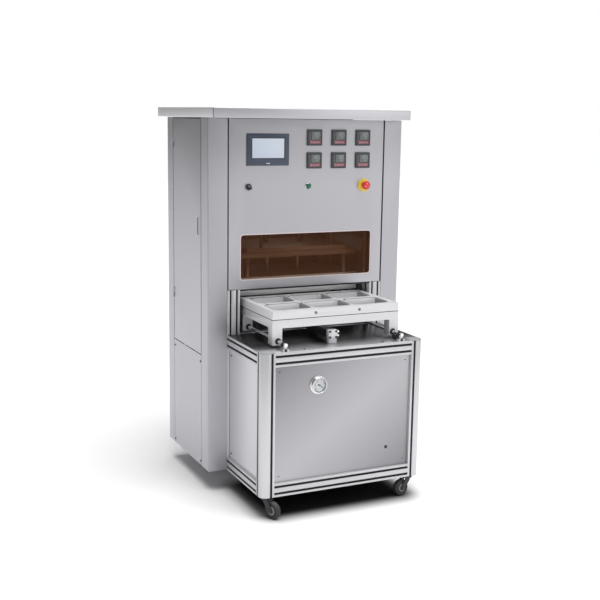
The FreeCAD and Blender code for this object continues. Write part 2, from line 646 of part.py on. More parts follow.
def carriage():
    left = "-carriage_wide / 2"
    bar_tall = "mould_low - bar_low"
    ring = box(("carriage_wide", "carriage_deep", bar_tall), (left, "carriage_front", "bar_low"))
    parts = []
    for edge in ("-carriage_wide / 2", "carriage_wide / 2 - leg_wide"):
        parts.append(box(("leg_wide", "leg_deep", "bar_low - leg_low"), (edge, "carriage_front", "leg_low")))
        parts.append(box(("leg_wide", 14, "bar_low - leg_low"),
                         (edge, "carriage_front + rear_leg", "leg_low")))
    inside = box(("carriage_wide - 2 * leg_wide", "carriage_deep - 2 * leg_deep", "2 * (%s)" % bar_tall),
                 ("-carriage_wide / 2 + leg_wide", "carriage_front + leg_deep", "bar_low - 20"))
    bores = []
    for across in ("-shaft_out", "shaft_out"):
        bores.append(rod("bush", "carriage_deep + 20", (across, "carriage_front - 10", "shaft_level"), "y"))
    keep(cut(join([ring] + parts), [inside] + bores), "carriage_frame")

    bushes = []
    for across in ("-shaft_out", "shaft_out"):
        sleeves = (("carriage_front - 1.5", "leg_deep + 1.5"), ("carriage_front + rear_leg - 1.5", "24"))
        for start, length in sleeves:
            sleeve = rod("bush", length, (across, start, "shaft_level"), "y")
            hole = rod("bore", "leg_deep + 40", (across, "%s - 10" % start, "shaft_level"), "y")
            bushes.append(cut(sleeve, [hole]))
    keep(group(bushes), "linear_bushes")

    rear_edge = "carriage_front + carriage_deep"
    slider = join([
        box(("cylinder_wide", 84, "bar_low - cylinder_low - cylinder_tall - 0.6"),
            ("cylinder_left", "%s - 84" % rear_edge, "cylinder_low + cylinder_tall + 0.6")),
        box((90, "leg_deep - 2", 9), ("cylinder_left - 24", "%s - leg_deep + 1" % rear_edge, "bar_low - 9")),
    ])
    keep(slider, "drive_slider")


def cavity_places():
    centre = "carriage_front + carriage_deep / 2"
    return [("%d * cavity_pitch" % column, "%s + %s * row_pitch / 2" % (centre, row))
            for row in (-1, 1) for column in (-1, 0, 1)]


def lower_mould():
    tall = "mould_high - mould_low"
    plate = box(("carriage_wide", "carriage_deep", tall),
                ("-carriage_wide / 2", "carriage_front", "mould_low"))
    plate = round_edges(plate, "1.5", Vector(0, 0, 1))
    cutters, seals = [], []

    def pocket(grow, low, deep):
        """A rounded block that reaches past the cavity by grow on every side."""
        block = box(("cavity_wide + 2 * %s" % grow, "cavity_long + 2 * %s" % grow, deep),
                    ("%s - cavity_wide / 2 - %s" % (across, grow),
                     "%s - cavity_long / 2 - %s" % (along, grow), low))
        return round_edges(block, "cavity_round + %s" % grow, Vector(0, 0, 1))

    for across, along in cavity_places():
        cutters.append(pocket("0", "mould_low - 20", "3 * (%s)" % tall))
        cutters.append(pocket("ledge", "mould_high - ledge_deep", "20"))
        ring = pocket("(ledge - 0.2)", "mould_high - ledge_deep", "ledge_deep - 0.4")
        seals.append(cut(ring, [pocket("2", "mould_high - 10", "20")]))
    for across in (-104, 109):
        cutters.append(rod(4.5, 12, (across, "carriage_front - 2", "mould_low + 20.5"), "y"))
    keep(cut(plate, cutters), "lower_mould")
    keep(group(seals), "tray_seals")


# ---------------------------------------------------------------- press


def press():
    """Bed, four tie columns and head plate stay; the slab carries the upper mould up and down."""
    ties = [(across, along) for across in ("-tie_out", "tie_out") for along in ("tie_front", "tie_back")]
    plate = box(("2 * tie_out + 60", "tie_back - tie_front + 60", "bed_high - bed_low"),
                ("-tie_out - 30", "tie_front - 30", "bed_low"))
    keep(cut(plate, [rod("tie", 100, (x, y, "bed_low - 20")) for x, y in ties]), "press_bed")

    lifts = [("%d * press_out" % side, "press_row") for side in (-1, 1)]
    guides = [(across, along) for across in ("-guide_out", "guide_out") for along in (115, 435)]
    plate = box(("2 * tie_out + 60", "tie_back - tie_front + 60", "head_high - head_low"),
                ("-tie_out - 30", "tie_front - 30", "head_low"))
    holes = [rod("tie", 100, (x, y, "head_low - 20")) for x, y in ties]
    holes += [rod(12.8, 100, (x, y, "head_low - 20")) for x, y in lifts]
    holes += [rod(8.05, 100, (x, y, "head_low - 20")) for x, y in guides]
    keep(cut(plate, holes), "press_head_plate")

    columns = [rod("tie", "head_high + 12 - bed_low", (x, y, "bed_low - 6")) for x, y in ties]
    keep(group(columns), "tie_columns")

    cylinders = []
    for x, y in lifts:
        body = rod(48, 150, (x, y, "head_high"))
        bore = rod(40, 126, (x, y, "head_high + 12"))
        neck = rod(12.8, 40, (x, y, "head_high - 10"))
        cylinders.append(cut(body, [bore, neck]))
    keep(group(cylinders), "press_cylinders")

    rods = []
    for x, y in lifts:
        stem = rod(12.5, "head_high + 20 - slab_high", (x, y, "slab_high"))
        piston = rod(39.6, 14, (x, y, "head_high + 16"))
        rods.append(join([stem, piston]))
    rods += [rod(8, "head_high + 15 - slab_high", (x, y, "slab_high")) for x, y in guides]
    struts = [(across, along) for across in ("-strut_out", "strut_out") for along in (115, 435)]
    rods += [rod(12, "slab_low - upper_high", (x, y, "upper_high")) for x, y in struts]
    keep(group(rods), "press_rods")

    slab = join([
        box(("slab_wide", 350, "slab_mid - slab_low"), ("-slab_wide / 2", 84, "slab_low")),
        box(("step_wide", 350, "slab_high - slab_mid"), ("-step_wide / 2", 100, "slab_mid")),
    ])
    heads = [(side * 80, "press_row") for side in (-1, 1)]
    wells = [rod(10.5, "slab_mid - slab_low - 3", (x, y, "slab_low")) for x, y in heads]
    keep(cut(slab, wells), "press_plate")

    left = "-carriage_wide / 2"
    shell = box(("carriage_wide", "carriage_deep", "upper_high - upper_low"),
                (left, "upper_front", "upper_low"))
    hollow = box(("carriage_wide - 2 * upper_wall", "carriage_deep - 2 * upper_wall",
                  "upper_high - upper_low - roof + 5"),
                 ("%s + upper_wall" % left, "upper_front + upper_wall", "upper_low - 5"))
    ports = [rod(8.3, 80, (x, y, "upper_high - 40")) for x, y in heads]
    keep(cut(shell, [hollow] + ports), "upper_mould")

    platen = [box(("carriage_wide - 2 * upper_wall - 16", "carriage_deep - 2 * upper_wall - 16", 22),
                  ("%s + upper_wall + 8" % left, "upper_front + upper_wall + 8", "upper_low + 14"))]
    platen += [rod(8, "slab_mid - 8 - upper_low - 30", (x, y, "upper_low + 30")) for x, y in heads]
    keep(join(platen), "heater_platen")


def film_reels():
    start = "upper_front + 5"
    brackets = []
    rolls = ((-1, "supply_round", "film_supply_roll"), (1, "waste_round", "film_waste_roll"))
    for side, radius, name in rolls:
        across = "%d * film_out" % side
        roll = rod(radius, "film_wide", (across, start, "film_level"), "y")
        core = rod("core_round", "film_wide + 4", (across, "%s - 2" % start, "film_level"), "y")
        spindle = rod("spindle", "film_wide + 30", (across, "%s - 15" % start, "film_level"), "y")
        keep(join([roll, core, spindle]), name)
        for begin in ("%s - 14" % start, "%s + film_wide + 6" % start):
            plate = box((60, 8, 105), ("%s - 30" % across, begin, "film_level - 25"))
            hole = rod("spindle + 0.06", 40, (across, "%s - 10" % begin, "film_level"), "y")
            brackets.append(cut(plate, [hole]))
    keep(group(brackets), "film_brackets")


# ---------------------------------------------------------------- casters


def casters():
    """Two swivel casters under the front corners, each trailing its own way."""
    plates = []
    for side, name, heading in ((-1, "left", 24), (1, "right", -78)):
        swing = Rotation(Vector(0, 0, 1), heading)
        at = ("%d * caster_out" % side, "caster_back", 0)
        top = box((56, 56, 4), ("%d * caster_out - 28" % side, "caster_back - 28", "base_low - 4"))
        boss = rod(9, 6, ("%d * caster_out" % side, "caster_back", "base_low - 10"))
        plates.append(join([top, boss]))

        crown = Part.makeCylinder(24, 10, Vector(0, 0, value("base_low") - 14.5))
        crown = crown.cut(Part.makeCylinder(9.06, 6, Vector(0, 0, value("base_low") - 10.3)))
        trail, centre = value("caster_trail"), value("wheel_round")
        half = value("wheel_wide") / 2 + 1.5
        for cheek_side in (-1, 1):
            start = half if cheek_side > 0 else -half - 3
            outline = [(8, value("base_low") - 14.5), (8, value("base_low") - 4.5 - 6),
                       (-20, value("base_low") - 4.5 - 6), (-trail - 9, centre + 4), (-trail - 9, centre - 9),
                       (-trail + 9, centre - 9), (0, value("base_low") - 30)]
            points = [Vector(start, y, z) for y, z in outline]
            face = Part.Face(Part.makePolygon(points + points[:1]))
            crown = crown.fuse(face.extrude(Vector(3, 0, 0)))
        pin_start = Vector(-half - 5, -trail, centre)
        pin = Part.makeCylinder(value("axle"), 2 * half + 10, pin_start, Vector(1, 0, 0))
        crown = crown.fuse(pin).removeSplitter()
        fork = doc.addObject("Part::Feature", "Fork")
        fork.Shape = crown
        place(fork, at, swing)
        keep(fork, "caster_fork_" + name)

        wheel = turned("Wheel", [
            ("axle + 0.06", "-wheel_wide / 2"), (20, "-wheel_wide / 2"), (22, "-wheel_wide / 2 + 3"),
            (28, "-wheel_wide / 2 + 3"), (30, "-wheel_wide / 2"), ("wheel_round - 4", "-wheel_wide / 2"),
            ("wheel_round", "-wheel_wide / 2 + 5"), ("wheel_round", "wheel_wide / 2 - 5"),
            ("wheel_round - 4", "wheel_wide / 2"), (30, "wheel_wide / 2"), (28, "wheel_wide / 2 - 3"),
            (22, "wheel_wide / 2 - 3"), (20, "wheel_wide / 2"), ("axle + 0.06", "wheel_wide / 2")])
        reach = swing.multVec(Vector(0, -value("caster_trail"), 0))
        centre_at = ("%d * caster_out + %.6f" % (side, reach.x), "caster_back + %.6f" % reach.y,
                     "wheel_round")
        place(wheel, centre_at, swing * turns["x"])
        keep(wheel, "caster_wheel_" + name)
    keep(group(plates), "caster_plates")


for make in (cabinet_frame, column_panels, lower_side_panels, rear_panel, cabinet_floor, canopy,
             levelling_feet, side_doors, front_control_panel, window_pane, operator_display,
             temperature_controllers, control_devices, base_frame, corner_posts, base_panels,
             table_plate, panel_screws, vacuum_gauge, slide, carriage_cylinder, carriage, lower_mould,
             press, film_reels, casters):
    make()

doc.recompute()
for item in doc.Objects:
    if "Invalid" in item.State or "Error" in item.State:
        raise RuntimeError("%s did not compute: %s" % (item.Label, item.State))
for item in pieces:
    if item.Shape.isNull() or not item.Shape.isValid():
        raise RuntimeError("%s has no valid shape" % item.Label)

os.makedirs("parts", exist_ok=True)
for item in pieces:
    item.Shape.exportStep("parts/%s.step" % item.Label)
    print("%-26s %2d solids" % (item.Label, len(item.Shape.Solids)))
print(len(pieces), "pieces")
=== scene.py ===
import json
import math
import bpy
from mathutils import Matrix, Vector


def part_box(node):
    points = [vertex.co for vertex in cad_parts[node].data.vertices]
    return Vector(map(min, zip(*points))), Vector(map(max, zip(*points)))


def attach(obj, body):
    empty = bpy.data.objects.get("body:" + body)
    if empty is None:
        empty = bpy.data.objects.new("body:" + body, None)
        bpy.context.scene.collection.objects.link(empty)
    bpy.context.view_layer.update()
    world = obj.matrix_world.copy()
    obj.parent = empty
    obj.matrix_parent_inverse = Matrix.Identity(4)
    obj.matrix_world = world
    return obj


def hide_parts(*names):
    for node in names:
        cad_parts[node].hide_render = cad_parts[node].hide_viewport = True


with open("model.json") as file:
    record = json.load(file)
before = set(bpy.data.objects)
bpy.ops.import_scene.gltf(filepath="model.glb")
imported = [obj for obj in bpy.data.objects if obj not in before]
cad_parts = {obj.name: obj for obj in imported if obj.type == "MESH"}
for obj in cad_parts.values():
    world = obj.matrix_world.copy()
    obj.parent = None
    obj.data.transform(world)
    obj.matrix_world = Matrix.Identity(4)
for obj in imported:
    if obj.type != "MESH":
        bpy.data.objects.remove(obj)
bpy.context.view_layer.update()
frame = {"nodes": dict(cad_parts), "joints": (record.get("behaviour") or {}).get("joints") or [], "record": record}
scene = bpy.context.scene
print("frame loaded:", len(frame["nodes"]), "nodes")

# The cabinet's front plane in the frame; the other places are read from the nodes.
panelLow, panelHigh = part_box("front_control_panel")
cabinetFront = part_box("column_panels")[0].y
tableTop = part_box("table_plate")[1].z


# camera

cameraSettings = {
    "place": (-2.0204, -4.3123, 1.7061),
    "azimuth": -25.438,
    "elevation": 10.305,
    "roll": 0.872,
    "lens": 61.31,
}


def addCamera(settings):
    azimuth = math.radians(settings["azimuth"])
    elevation = math.radians(settings["elevation"])
    roll = math.radians(settings["roll"])
    level = math.cos(elevation)
    back = Vector((math.sin(azimuth) * level, -math.cos(azimuth) * level, math.sin(elevation)))
    right = Vector((math.cos(azimuth), math.sin(azimuth), 0))
    up = right.cross(-back)
    rolledRight = right * math.cos(roll) + up * math.sin(roll)
    rolledUp = up * math.cos(roll) - right * math.sin(roll)
    data = bpy.data.cameras.new("studioCamera")
    data.lens = settings["lens"]
    data.sensor_width = 36
    data.clip_start = 0.05
    data.clip_end = 100
    camera = bpy.data.objects.new("studioCamera", data)
    scene.collection.objects.link(camera)
    turn = Matrix((rolledRight, rolledUp, back)).transposed().to_4x4()
    camera.matrix_world = Matrix.Translation(Vector(settings["place"])) @ turn
    scene.camera = camera


addCamera(cameraSettings)


# picking and editing


def deselectAll():
    bpy.ops.object.select_all(action="DESELECT")


def makeActive(piece):
    deselectAll()
    piece.select_set(True)
    bpy.context.view_layer.objects.active = piece


def startEdit(piece, mode):
    makeActive(piece)
    bpy.ops.object.mode_set(mode="EDIT")
    bpy.ops.mesh.select_mode(type=mode)
    bpy.ops.mesh.select_all(action="DESELECT")
    bpy.ops.object.mode_set(mode="OBJECT")


def pickFaces(piece, wanted):
    # wanted gets a face's centre and normal
    startEdit(piece, "FACE")
    for face in piece.data.polygons:
        face.select = wanted(face.center, face.normal)
    bpy.ops.object.mode_set(mode="EDIT")


def pickEdges(piece, wanted):
    # wanted gets the two ends of an edge
    startEdit(piece, "EDGE")
    points = piece.data.vertices
    for edge in piece.data.edges:
        edge.select = wanted(points[edge.vertices[0]].co, points[edge.vertices[1]].co)
    bpy.ops.object.mode_set(mode="EDIT")


def leaveEdit():
    bpy.ops.object.mode_set(mode="OBJECT")


def addModifier(piece, kind, **values):
    makeActive(piece)
    modifier = piece.modifiers.new(kind.lower(), kind)
    for name, value in values.items():
        setattr(modifier, name, value)
    bpy.ops.object.modifier_apply(modifier=modifier.name)


def softenEdges(piece, width, segments=2, angle=30):
    addModifier(piece, "BEVEL", width=width, segments=segments, limit_method="ANGLE",
                angle_limit=math.radians(angle), harden_normals=False)


def copyMesh(piece, name):
    copy = bpy.data.objects.new(name, piece.data.copy())
    scene.collection.objects.link(copy)
    return copy


def cadCopy(node, name):
    # a merged copy of a CAD node, ready for rounding
    piece = copyMesh(frame["nodes"][node], name)
    makeActive(piece)
    bpy.ops.mesh.customdata_custom_splitnormals_clear()
    bpy.ops.object.mode_set(mode="EDIT")
    bpy.ops.mesh.select_all(action="SELECT")
    bpy.ops.mesh.remove_doubles(threshold=0.000002)
    bpy.ops.mesh.dissolve_limited(angle_limit=math.radians(0.6))
    bpy.ops.object.mode_set(mode="OBJECT")
    return piece


def joinPieces(pieces, name):
    makeActive(pieces[0])
    for piece in pieces:
        piece.select_set(True)
    if len(pieces) > 1:
        bpy.ops.object.join()
    joined = bpy.context.view_layer.objects.active
    joined.name = name
    joined.data.name = name
    return joined


def addCube(name, low, high):
    deselectAll()
    low, high = Vector(low), Vector(high)
    bpy.ops.mesh.primitive_cube_add(size=1, location=(low + high) / 2)
    piece = bpy.context.object
    piece.name = name
    piece.scale = high - low
    bpy.ops.object.transform_apply(location=True, rotation=True, scale=True)
    return piece


def addDrum(name, centre, radius, length, along="Z", sides=32):
    # a cylinder with its middle at centre
    deselectAll()
    turn = {"X": (0, math.pi / 2, 0), "Y": (math.pi / 2, 0, 0), "Z": (0, 0, 0)}[along]
    bpy.ops.mesh.primitive_cylinder_add(vertices=sides, radius=radius, depth=length, location=centre,
                                        rotation=turn)
    piece = bpy.context.object
    piece.name = name
    bpy.ops.object.transform_apply(location=True, rotation=True, scale=True)
    return piece


def bevelEdges(piece, wanted, width, segments):
    pickEdges(piece, wanted)
    bpy.ops.mesh.bevel(offset=width, segments=segments, affect="EDGES")
    leaveEdit()


def insetFaces(piece, wanted, *steps):
    # each step is the inset's width and its height above the face
    pickFaces(piece, wanted)
    for thickness, depth in steps:
        bpy.ops.mesh.inset(thickness=thickness, depth=depth)
    leaveEdit()


def openRing(piece, along, thickness):
    # a plate becomes a ring: its two faces across the axis are inset and joined through
    pickFaces(piece, lambda c, n: abs(n[along]) > 0.9)
    bpy.ops.mesh.inset(thickness=thickness, depth=0)
    bpy.ops.mesh.bridge_edge_loops()
    leaveEdit()
    return piece


def addSideStrip(name, side, across, along, upward):
    # a box on the left (-1) or right (1) side; across runs outwards, the other spans are in the frame
    inner, outer = side * across[0], side * across[1]
    return addCube(name, (min(inner, outer), along[0], upward[0]), (max(inner, outer), along[1], upward[1]))


def finishPiece(piece, body, material, replaced=(), angle=32):
    makeActive(piece)
    bpy.ops.object.transform_apply(location=True, rotation=True, scale=True)
    bpy.ops.object.shade_smooth_by_angle(angle=math.radians(angle))
    piece.data.materials.clear()
    piece.data.materials.append(material)
    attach(piece, body)
    if replaced:
        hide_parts(*replaced)
    return piece


def secondFinish(piece, material, wanted):
    # a different finish for the faces that pass the test
    piece.data.materials.append(material)
    number = len(piece.data.materials) - 1
    for face in piece.data.polygons:
        if wanted(face.center, face.normal):
            face.material_index = number


def solidBoxes(node):
    # lowest and highest corner of each separate solid of a node
    mesh = frame["nodes"][node].data
    owner = {}

    def root(key):
        while owner[key] != key:
            owner[key] = owner[owner[key]]
            key = owner[key]
        return key

    keys = [tuple(round(value * 100000) for value in point.co) for point in mesh.vertices]
    for key in keys:
        owner.setdefault(key, key)
    for face in mesh.polygons:
        first = root(keys[face.vertices[0]])
        for number in face.vertices[1:]:
            owner[root(keys[number])] = first
    groups = {}
    for key in owner:
        groups.setdefault(root(key), []).append(key)
    boxes = []
    for keysOfOne in groups.values():
        low = Vector([min(key[axis] for key in keysOfOne) / 100000 for axis in range(3)])
        high = Vector([max(key[axis] for key in keysOfOne) / 100000 for axis in range(3)])
        boxes.append((low, high))
    boxes.sort(key=lambda pair: (round(pair[0].x, 3), round(pair[0].y, 3), round(pair[0].z, 3)))
    return boxes


# shared effects


def newGroup(name, inputs, outputs):
    group = bpy.data.node_groups.new(name, "ShaderNodeTree")
    for label, kind, value in inputs:
        socket = group.interface.new_socket(name=label, in_out="INPUT", socket_type=kind)
        if value is not None:
            socket.default_value = value
    for label, kind in outputs:
        group.interface.new_socket(name=label, in_out="OUTPUT", socket_type=kind)
    start = group.nodes.new("NodeGroupInput")
    end = group.nodes.new("NodeGroupOutput")
    return group, start, end


def mathNode(tree, operation, first, second):
    node = tree.nodes.new("ShaderNodeMath")
    node.operation = operation
    for socket, value in zip(node.inputs, (first, second)):
        if isinstance(value, (int, float)):
            socket.default_value = value
        else:
            tree.links.new(value, socket)
    return node.outputs[0]


def plus(tree, first, second):
    return mathNode(tree, "ADD", first, second)


def minus(tree, first, second):
    return mathNode(tree, "SUBTRACT", first, second)


def times(tree, first, second):
    return mathNode(tree, "MULTIPLY", first, second)


def noiseNode(tree, vector, scale, detail, roughness=0.5):
    node = tree.nodes.new("ShaderNodeTexNoise")
    node.inputs["Scale"].default_value = scale
    node.inputs["Detail"].default_value = detail
    node.inputs["Roughness"].default_value = roughness
    tree.links.new(vector, node.inputs["Vector"])
    return node.outputs["Fac"]


def scaled(tree, vector, factor):
    # a colour or a vector times a number
    node = tree.nodes.new("ShaderNodeVectorMath")
    node.operation = "SCALE"
    tree.links.new(vector, node.inputs[0])
    tree.links.new(factor, node.inputs["Scale"])
    return node.outputs[0]


def buildBrushedGrain():
    # lines along one direction, with broad soft clouds over them
    group, start, end = newGroup(
        "brushedGrain",
        [("Vector", "NodeSocketVector", None), ("Stretch", "NodeSocketVector", (3, 3, 300)),
         ("Tint", "NodeSocketColor", (0.6, 0.6, 0.6, 1)), ("Line Contrast", "NodeSocketFloat", 0.1),
         ("Cloud Contrast", "NodeSocketFloat", 0.1), ("Cloud Scale", "NodeSocketFloat", 2.2),
         ("Roughness", "NodeSocketFloat", 0.4), ("Roughness Spread", "NodeSocketFloat", 0.15)],
        [("Color", "NodeSocketColor"), ("Roughness", "NodeSocketFloat"), ("Height", "NodeSocketFloat")])
    stretch = group.nodes.new("ShaderNodeVectorMath")
    stretch.operation = "MULTIPLY"
    group.links.new(start.outputs["Vector"], stretch.inputs[0])
    group.links.new(start.outputs["Stretch"], stretch.inputs[1])
    lines = noiseNode(group, stretch.outputs[0], 1, 3, 0.6)
    cloudVector = scaled(group, start.outputs["Vector"], start.outputs["Cloud Scale"])
    clouds = noiseNode(group, cloudVector, 1, 2, 0.45)
    lineTone = times(group, minus(group, lines, 0.5), start.outputs["Line Contrast"])
    cloudTone = times(group, minus(group, clouds, 0.5), start.outputs["Cloud Contrast"])
    tone = plus(group, plus(group, lineTone, cloudTone), 1)
    group.links.new(scaled(group, start.outputs["Tint"], tone), end.inputs["Color"])
    mixed = plus(group, times(group, lines, 0.6), times(group, clouds, 0.4))
    spread = times(group, minus(group, mixed, 0.5), start.outputs["Roughness Spread"])
    group.links.new(plus(group, start.outputs["Roughness"], spread), end.inputs["Roughness"])
    group.links.new(lines, end.inputs["Height"])
    return group


def buildMouldedGrain():
    # the fine even texture of moulded plastic, rubber and blasted metal
    group, start, end = newGroup(
        "mouldedGrain",
        [("Vector", "NodeSocketVector", None), ("Grain Scale", "NodeSocketFloat", 900),
         ("Tint", "NodeSocketColor", (0.1, 0.1, 0.1, 1)), ("Contrast", "NodeSocketFloat", 0.2),
         ("Roughness", "NodeSocketFloat", 0.5), ("Roughness Spread", "NodeSocketFloat", 0.15)],
        [("Color", "NodeSocketColor"), ("Roughness", "NodeSocketFloat"), ("Height", "NodeSocketFloat")])
    fineVector = scaled(group, start.outputs["Vector"], start.outputs["Grain Scale"])
    fine = noiseNode(group, fineVector, 1, 2, 0.6)
    broad = noiseNode(group, start.outputs["Vector"], 14, 2, 0.5)
    mixed = plus(group, times(group, fine, 0.5), times(group, broad, 0.5))
    centred = minus(group, mixed, 0.5)
    tone = plus(group, times(group, centred, start.outputs["Contrast"]), 1)
    group.links.new(scaled(group, start.outputs["Tint"], tone), end.inputs["Color"])
    spread = times(group, centred, start.outputs["Roughness Spread"])
    group.links.new(plus(group, start.outputs["Roughness"], spread), end.inputs["Roughness"])
    group.links.new(fine, end.inputs["Height"])
    return group


def buildTopDust():
    # a thin film of dust where a surface faces up
    group, start, end = newGroup(
        "topDust",
        [("Vector", "NodeSocketVector", None), ("Color", "NodeSocketColor", (0.5, 0.5, 0.5, 1)),
         ("Dust", "NodeSocketColor", (0.62, 0.61, 0.6, 1)), ("Amount", "NodeSocketFloat", 0.1)],
        [("Color", "NodeSocketColor"), ("Mask", "NodeSocketFloat")])
    geometry = group.nodes.new("ShaderNodeNewGeometry")
    split = group.nodes.new("ShaderNodeSeparateXYZ")
    group.links.new(geometry.outputs["Normal"], split.inputs[0])
    facing = mathNode(group, "POWER", mathNode(group, "MAXIMUM", split.outputs["Z"], 0), 3)
    specks = noiseNode(group, start.outputs["Vector"], 38, 4, 0.7)
    mask = times(group, times(group, facing, specks), start.outputs["Amount"])
    mix = group.nodes.new("ShaderNodeMix")
    mix.data_type = "RGBA"
    group.links.new(mask, mix.inputs[0])
    group.links.new(start.outputs["Color"], mix.inputs[6])
    group.links.new(start.outputs["Dust"], mix.inputs[7])
    group.links.new(mix.outputs[2], end.inputs["Color"])
    group.links.new(mask, end.inputs["Mask"])
    return group


brushedGrain = buildBrushedGrain()
mouldedGrain = buildMouldedGrain()
topDust = buildTopDust()


def newMaterial(name):
    material = bpy.data.materials.new(name)
    material.use_nodes = True
    tree = material.node_tree
    shader = tree.nodes["Principled BSDF"]
    place = tree.nodes.new("ShaderNodeTexCoord")
    return material, tree, shader, place.outputs["Object"]


def placeGroup(tree, group, vector, values):
    node = tree.nodes.new("ShaderNodeGroup")
    node.node_tree = group
    tree.links.new(vector, node.inputs["Vector"])
    for label, value in values.items():
        node.inputs[label].default_value = value
    return node


def setShader(shader, values):
    for label, value in values.items():
        shader.inputs[label].default_value = value


def addBump(tree, shader, height, strength, distance):
    bump = tree.nodes.new("ShaderNodeBump")
    bump.inputs["Strength"].default_value = strength
    bump.inputs["Distance"].default_value = distance
    tree.links.new(height, bump.inputs["Height"])
    tree.links.new(bump.outputs["Normal"], shader.inputs["Normal"])


def joinGrain(material, grain, dust, bump, distance):
    # the grain group's outputs feed the shader, the colour through a film of dust where there is any
    tree, shader, vector = material
    color = grain.outputs["Color"]
    if dust:
        film = placeGroup(tree, topDust, vector, {"Amount": dust})
        tree.links.new(color, film.inputs["Color"])
        color = film.outputs["Color"]
    tree.links.new(color, shader.inputs["Base Color"])
    tree.links.new(grain.outputs["Roughness"], shader.inputs["Roughness"])
    addBump(tree, shader, grain.outputs["Height"], bump, distance)


def brushedMetal(name, tint, stretch, roughness=0.4, lines=0.1, clouds=0.08, dust=0.0, metallic=1.0,
                 bump=0.08, spread=0.12, cloudScale=2.2):
    material, tree, shader, vector = newMaterial(name)
    grain = placeGroup(tree, brushedGrain, vector, {
        "Stretch": stretch, "Tint": (*tint, 1), "Line Contrast": lines, "Cloud Contrast": clouds,
        "Cloud Scale": cloudScale, "Roughness": roughness, "Roughness Spread": spread})
    setShader(shader, {"Metallic": metallic})
    joinGrain((tree, shader, vector), grain, dust, bump, 0.0004)
    return material


def mouldedPart(name, tint, scale=900, roughness=0.5, contrast=0.25, bump=0.15, metallic=0.0, coat=0.0,
                dust=0.0, spread=0.15):
    material, tree, shader, vector = newMaterial(name)
    grain = placeGroup(tree, mouldedGrain, vector, {
        "Grain Scale": scale, "Tint": (*tint, 1), "Contrast": contrast, "Roughness": roughness,
        "Roughness Spread": spread})
    setShader(shader, {"Metallic": metallic, "Coat Weight": coat})
    joinGrain((tree, shader, vector), grain, dust, bump, 0.0003)
    return material


def shadeColor(material, amount):
    # multiplies the colour that feeds the material's shader by a number between 0 and 1
    tree = material.node_tree
    target = tree.nodes["Principled BSDF"].inputs["Base Color"]
    tree.links.new(scaled(tree, target.links[0].from_socket, amount), target)


def objectAxes(material):
    tree = material.node_tree
    place = next(node for node in tree.nodes if node.type == "TEX_COORD")
    split = tree.nodes.new("ShaderNodeSeparateXYZ")
    tree.links.new(place.outputs["Object"], split.inputs[0])
    return tree, split.outputs


def rangeNode(tree, source, fromLow, fromHigh, toLow, toHigh):
    node = tree.nodes.new("ShaderNodeMapRange")
    node.interpolation_type = "SMOOTHSTEP"
    tree.links.new(source, node.inputs["Value"])
    labels = ("From Min", "From Max", "To Min", "To Max")
    for label, value in zip(labels, (fromLow, fromHigh, toLow, toHigh)):
        node.inputs[label].default_value = value
    return node.outputs[0]


def litScreen(name, low, high, start, end, glow):
    # a lit face that pales from the lower left to the upper right
    material, tree, shader, vector = newMaterial(name)
    mapping = tree.nodes.new("ShaderNodeMapping")
    mapping.inputs["Location"].default_value = (-start[0], 0, -start[2])
    tree.links.new(vector, mapping.inputs["Vector"])
    split = tree.nodes.new("ShaderNodeSeparateXYZ")
    tree.links.new(mapping.outputs[0], split.inputs[0])
    across = mathNode(tree, "DIVIDE", split.outputs["X"], end[0] - start[0])
    upward = mathNode(tree, "DIVIDE", split.outputs["Z"], end[2] - start[2])
    slant = times(tree, plus(tree, across, upward), 0.5)
    ramp = tree.nodes.new("ShaderNodeValToRGB")
    ramp.color_ramp.elements[0].color = (*low, 1)
    ramp.color_ramp.elements[1].color = (*high, 1)
    tree.links.new(slant, ramp.inputs[0])
    tree.links.new(ramp.outputs["Color"], shader.inputs["Emission Color"])
    tree.links.new(ramp.outputs["Color"], shader.inputs["Base Color"])
    setShader(shader, {"Roughness": 0.25, "Emission Strength": glow, "Specular IOR Level": 0.2})
    return material


# the pane's emission is a painted glow: a faint brown veil over what shows through
def smokedPane(name, tint, roughness=0.03, transmission=1.0, haze=(0, 0, 0)):
    material, tree, shader, vector = newMaterial(name)
    grain = placeGroup(tree, mouldedGrain, vector, {
        "Grain Scale": 3, "Tint": (*tint, 1), "Contrast": 0.12, "Roughness": roughness,
        "Roughness Spread": 0.02})
    tree.links.new(grain.outputs["Color"], shader.inputs["Base Color"])
    tree.links.new(grain.outputs["Roughness"], shader.inputs["Roughness"])
    setShader(shader, {"Transmission Weight": transmission, "IOR": 1.12, "Specular IOR Level": 0.3,
                       "Emission Color": (*haze, 1), "Emission Strength": 1.0})
    return material


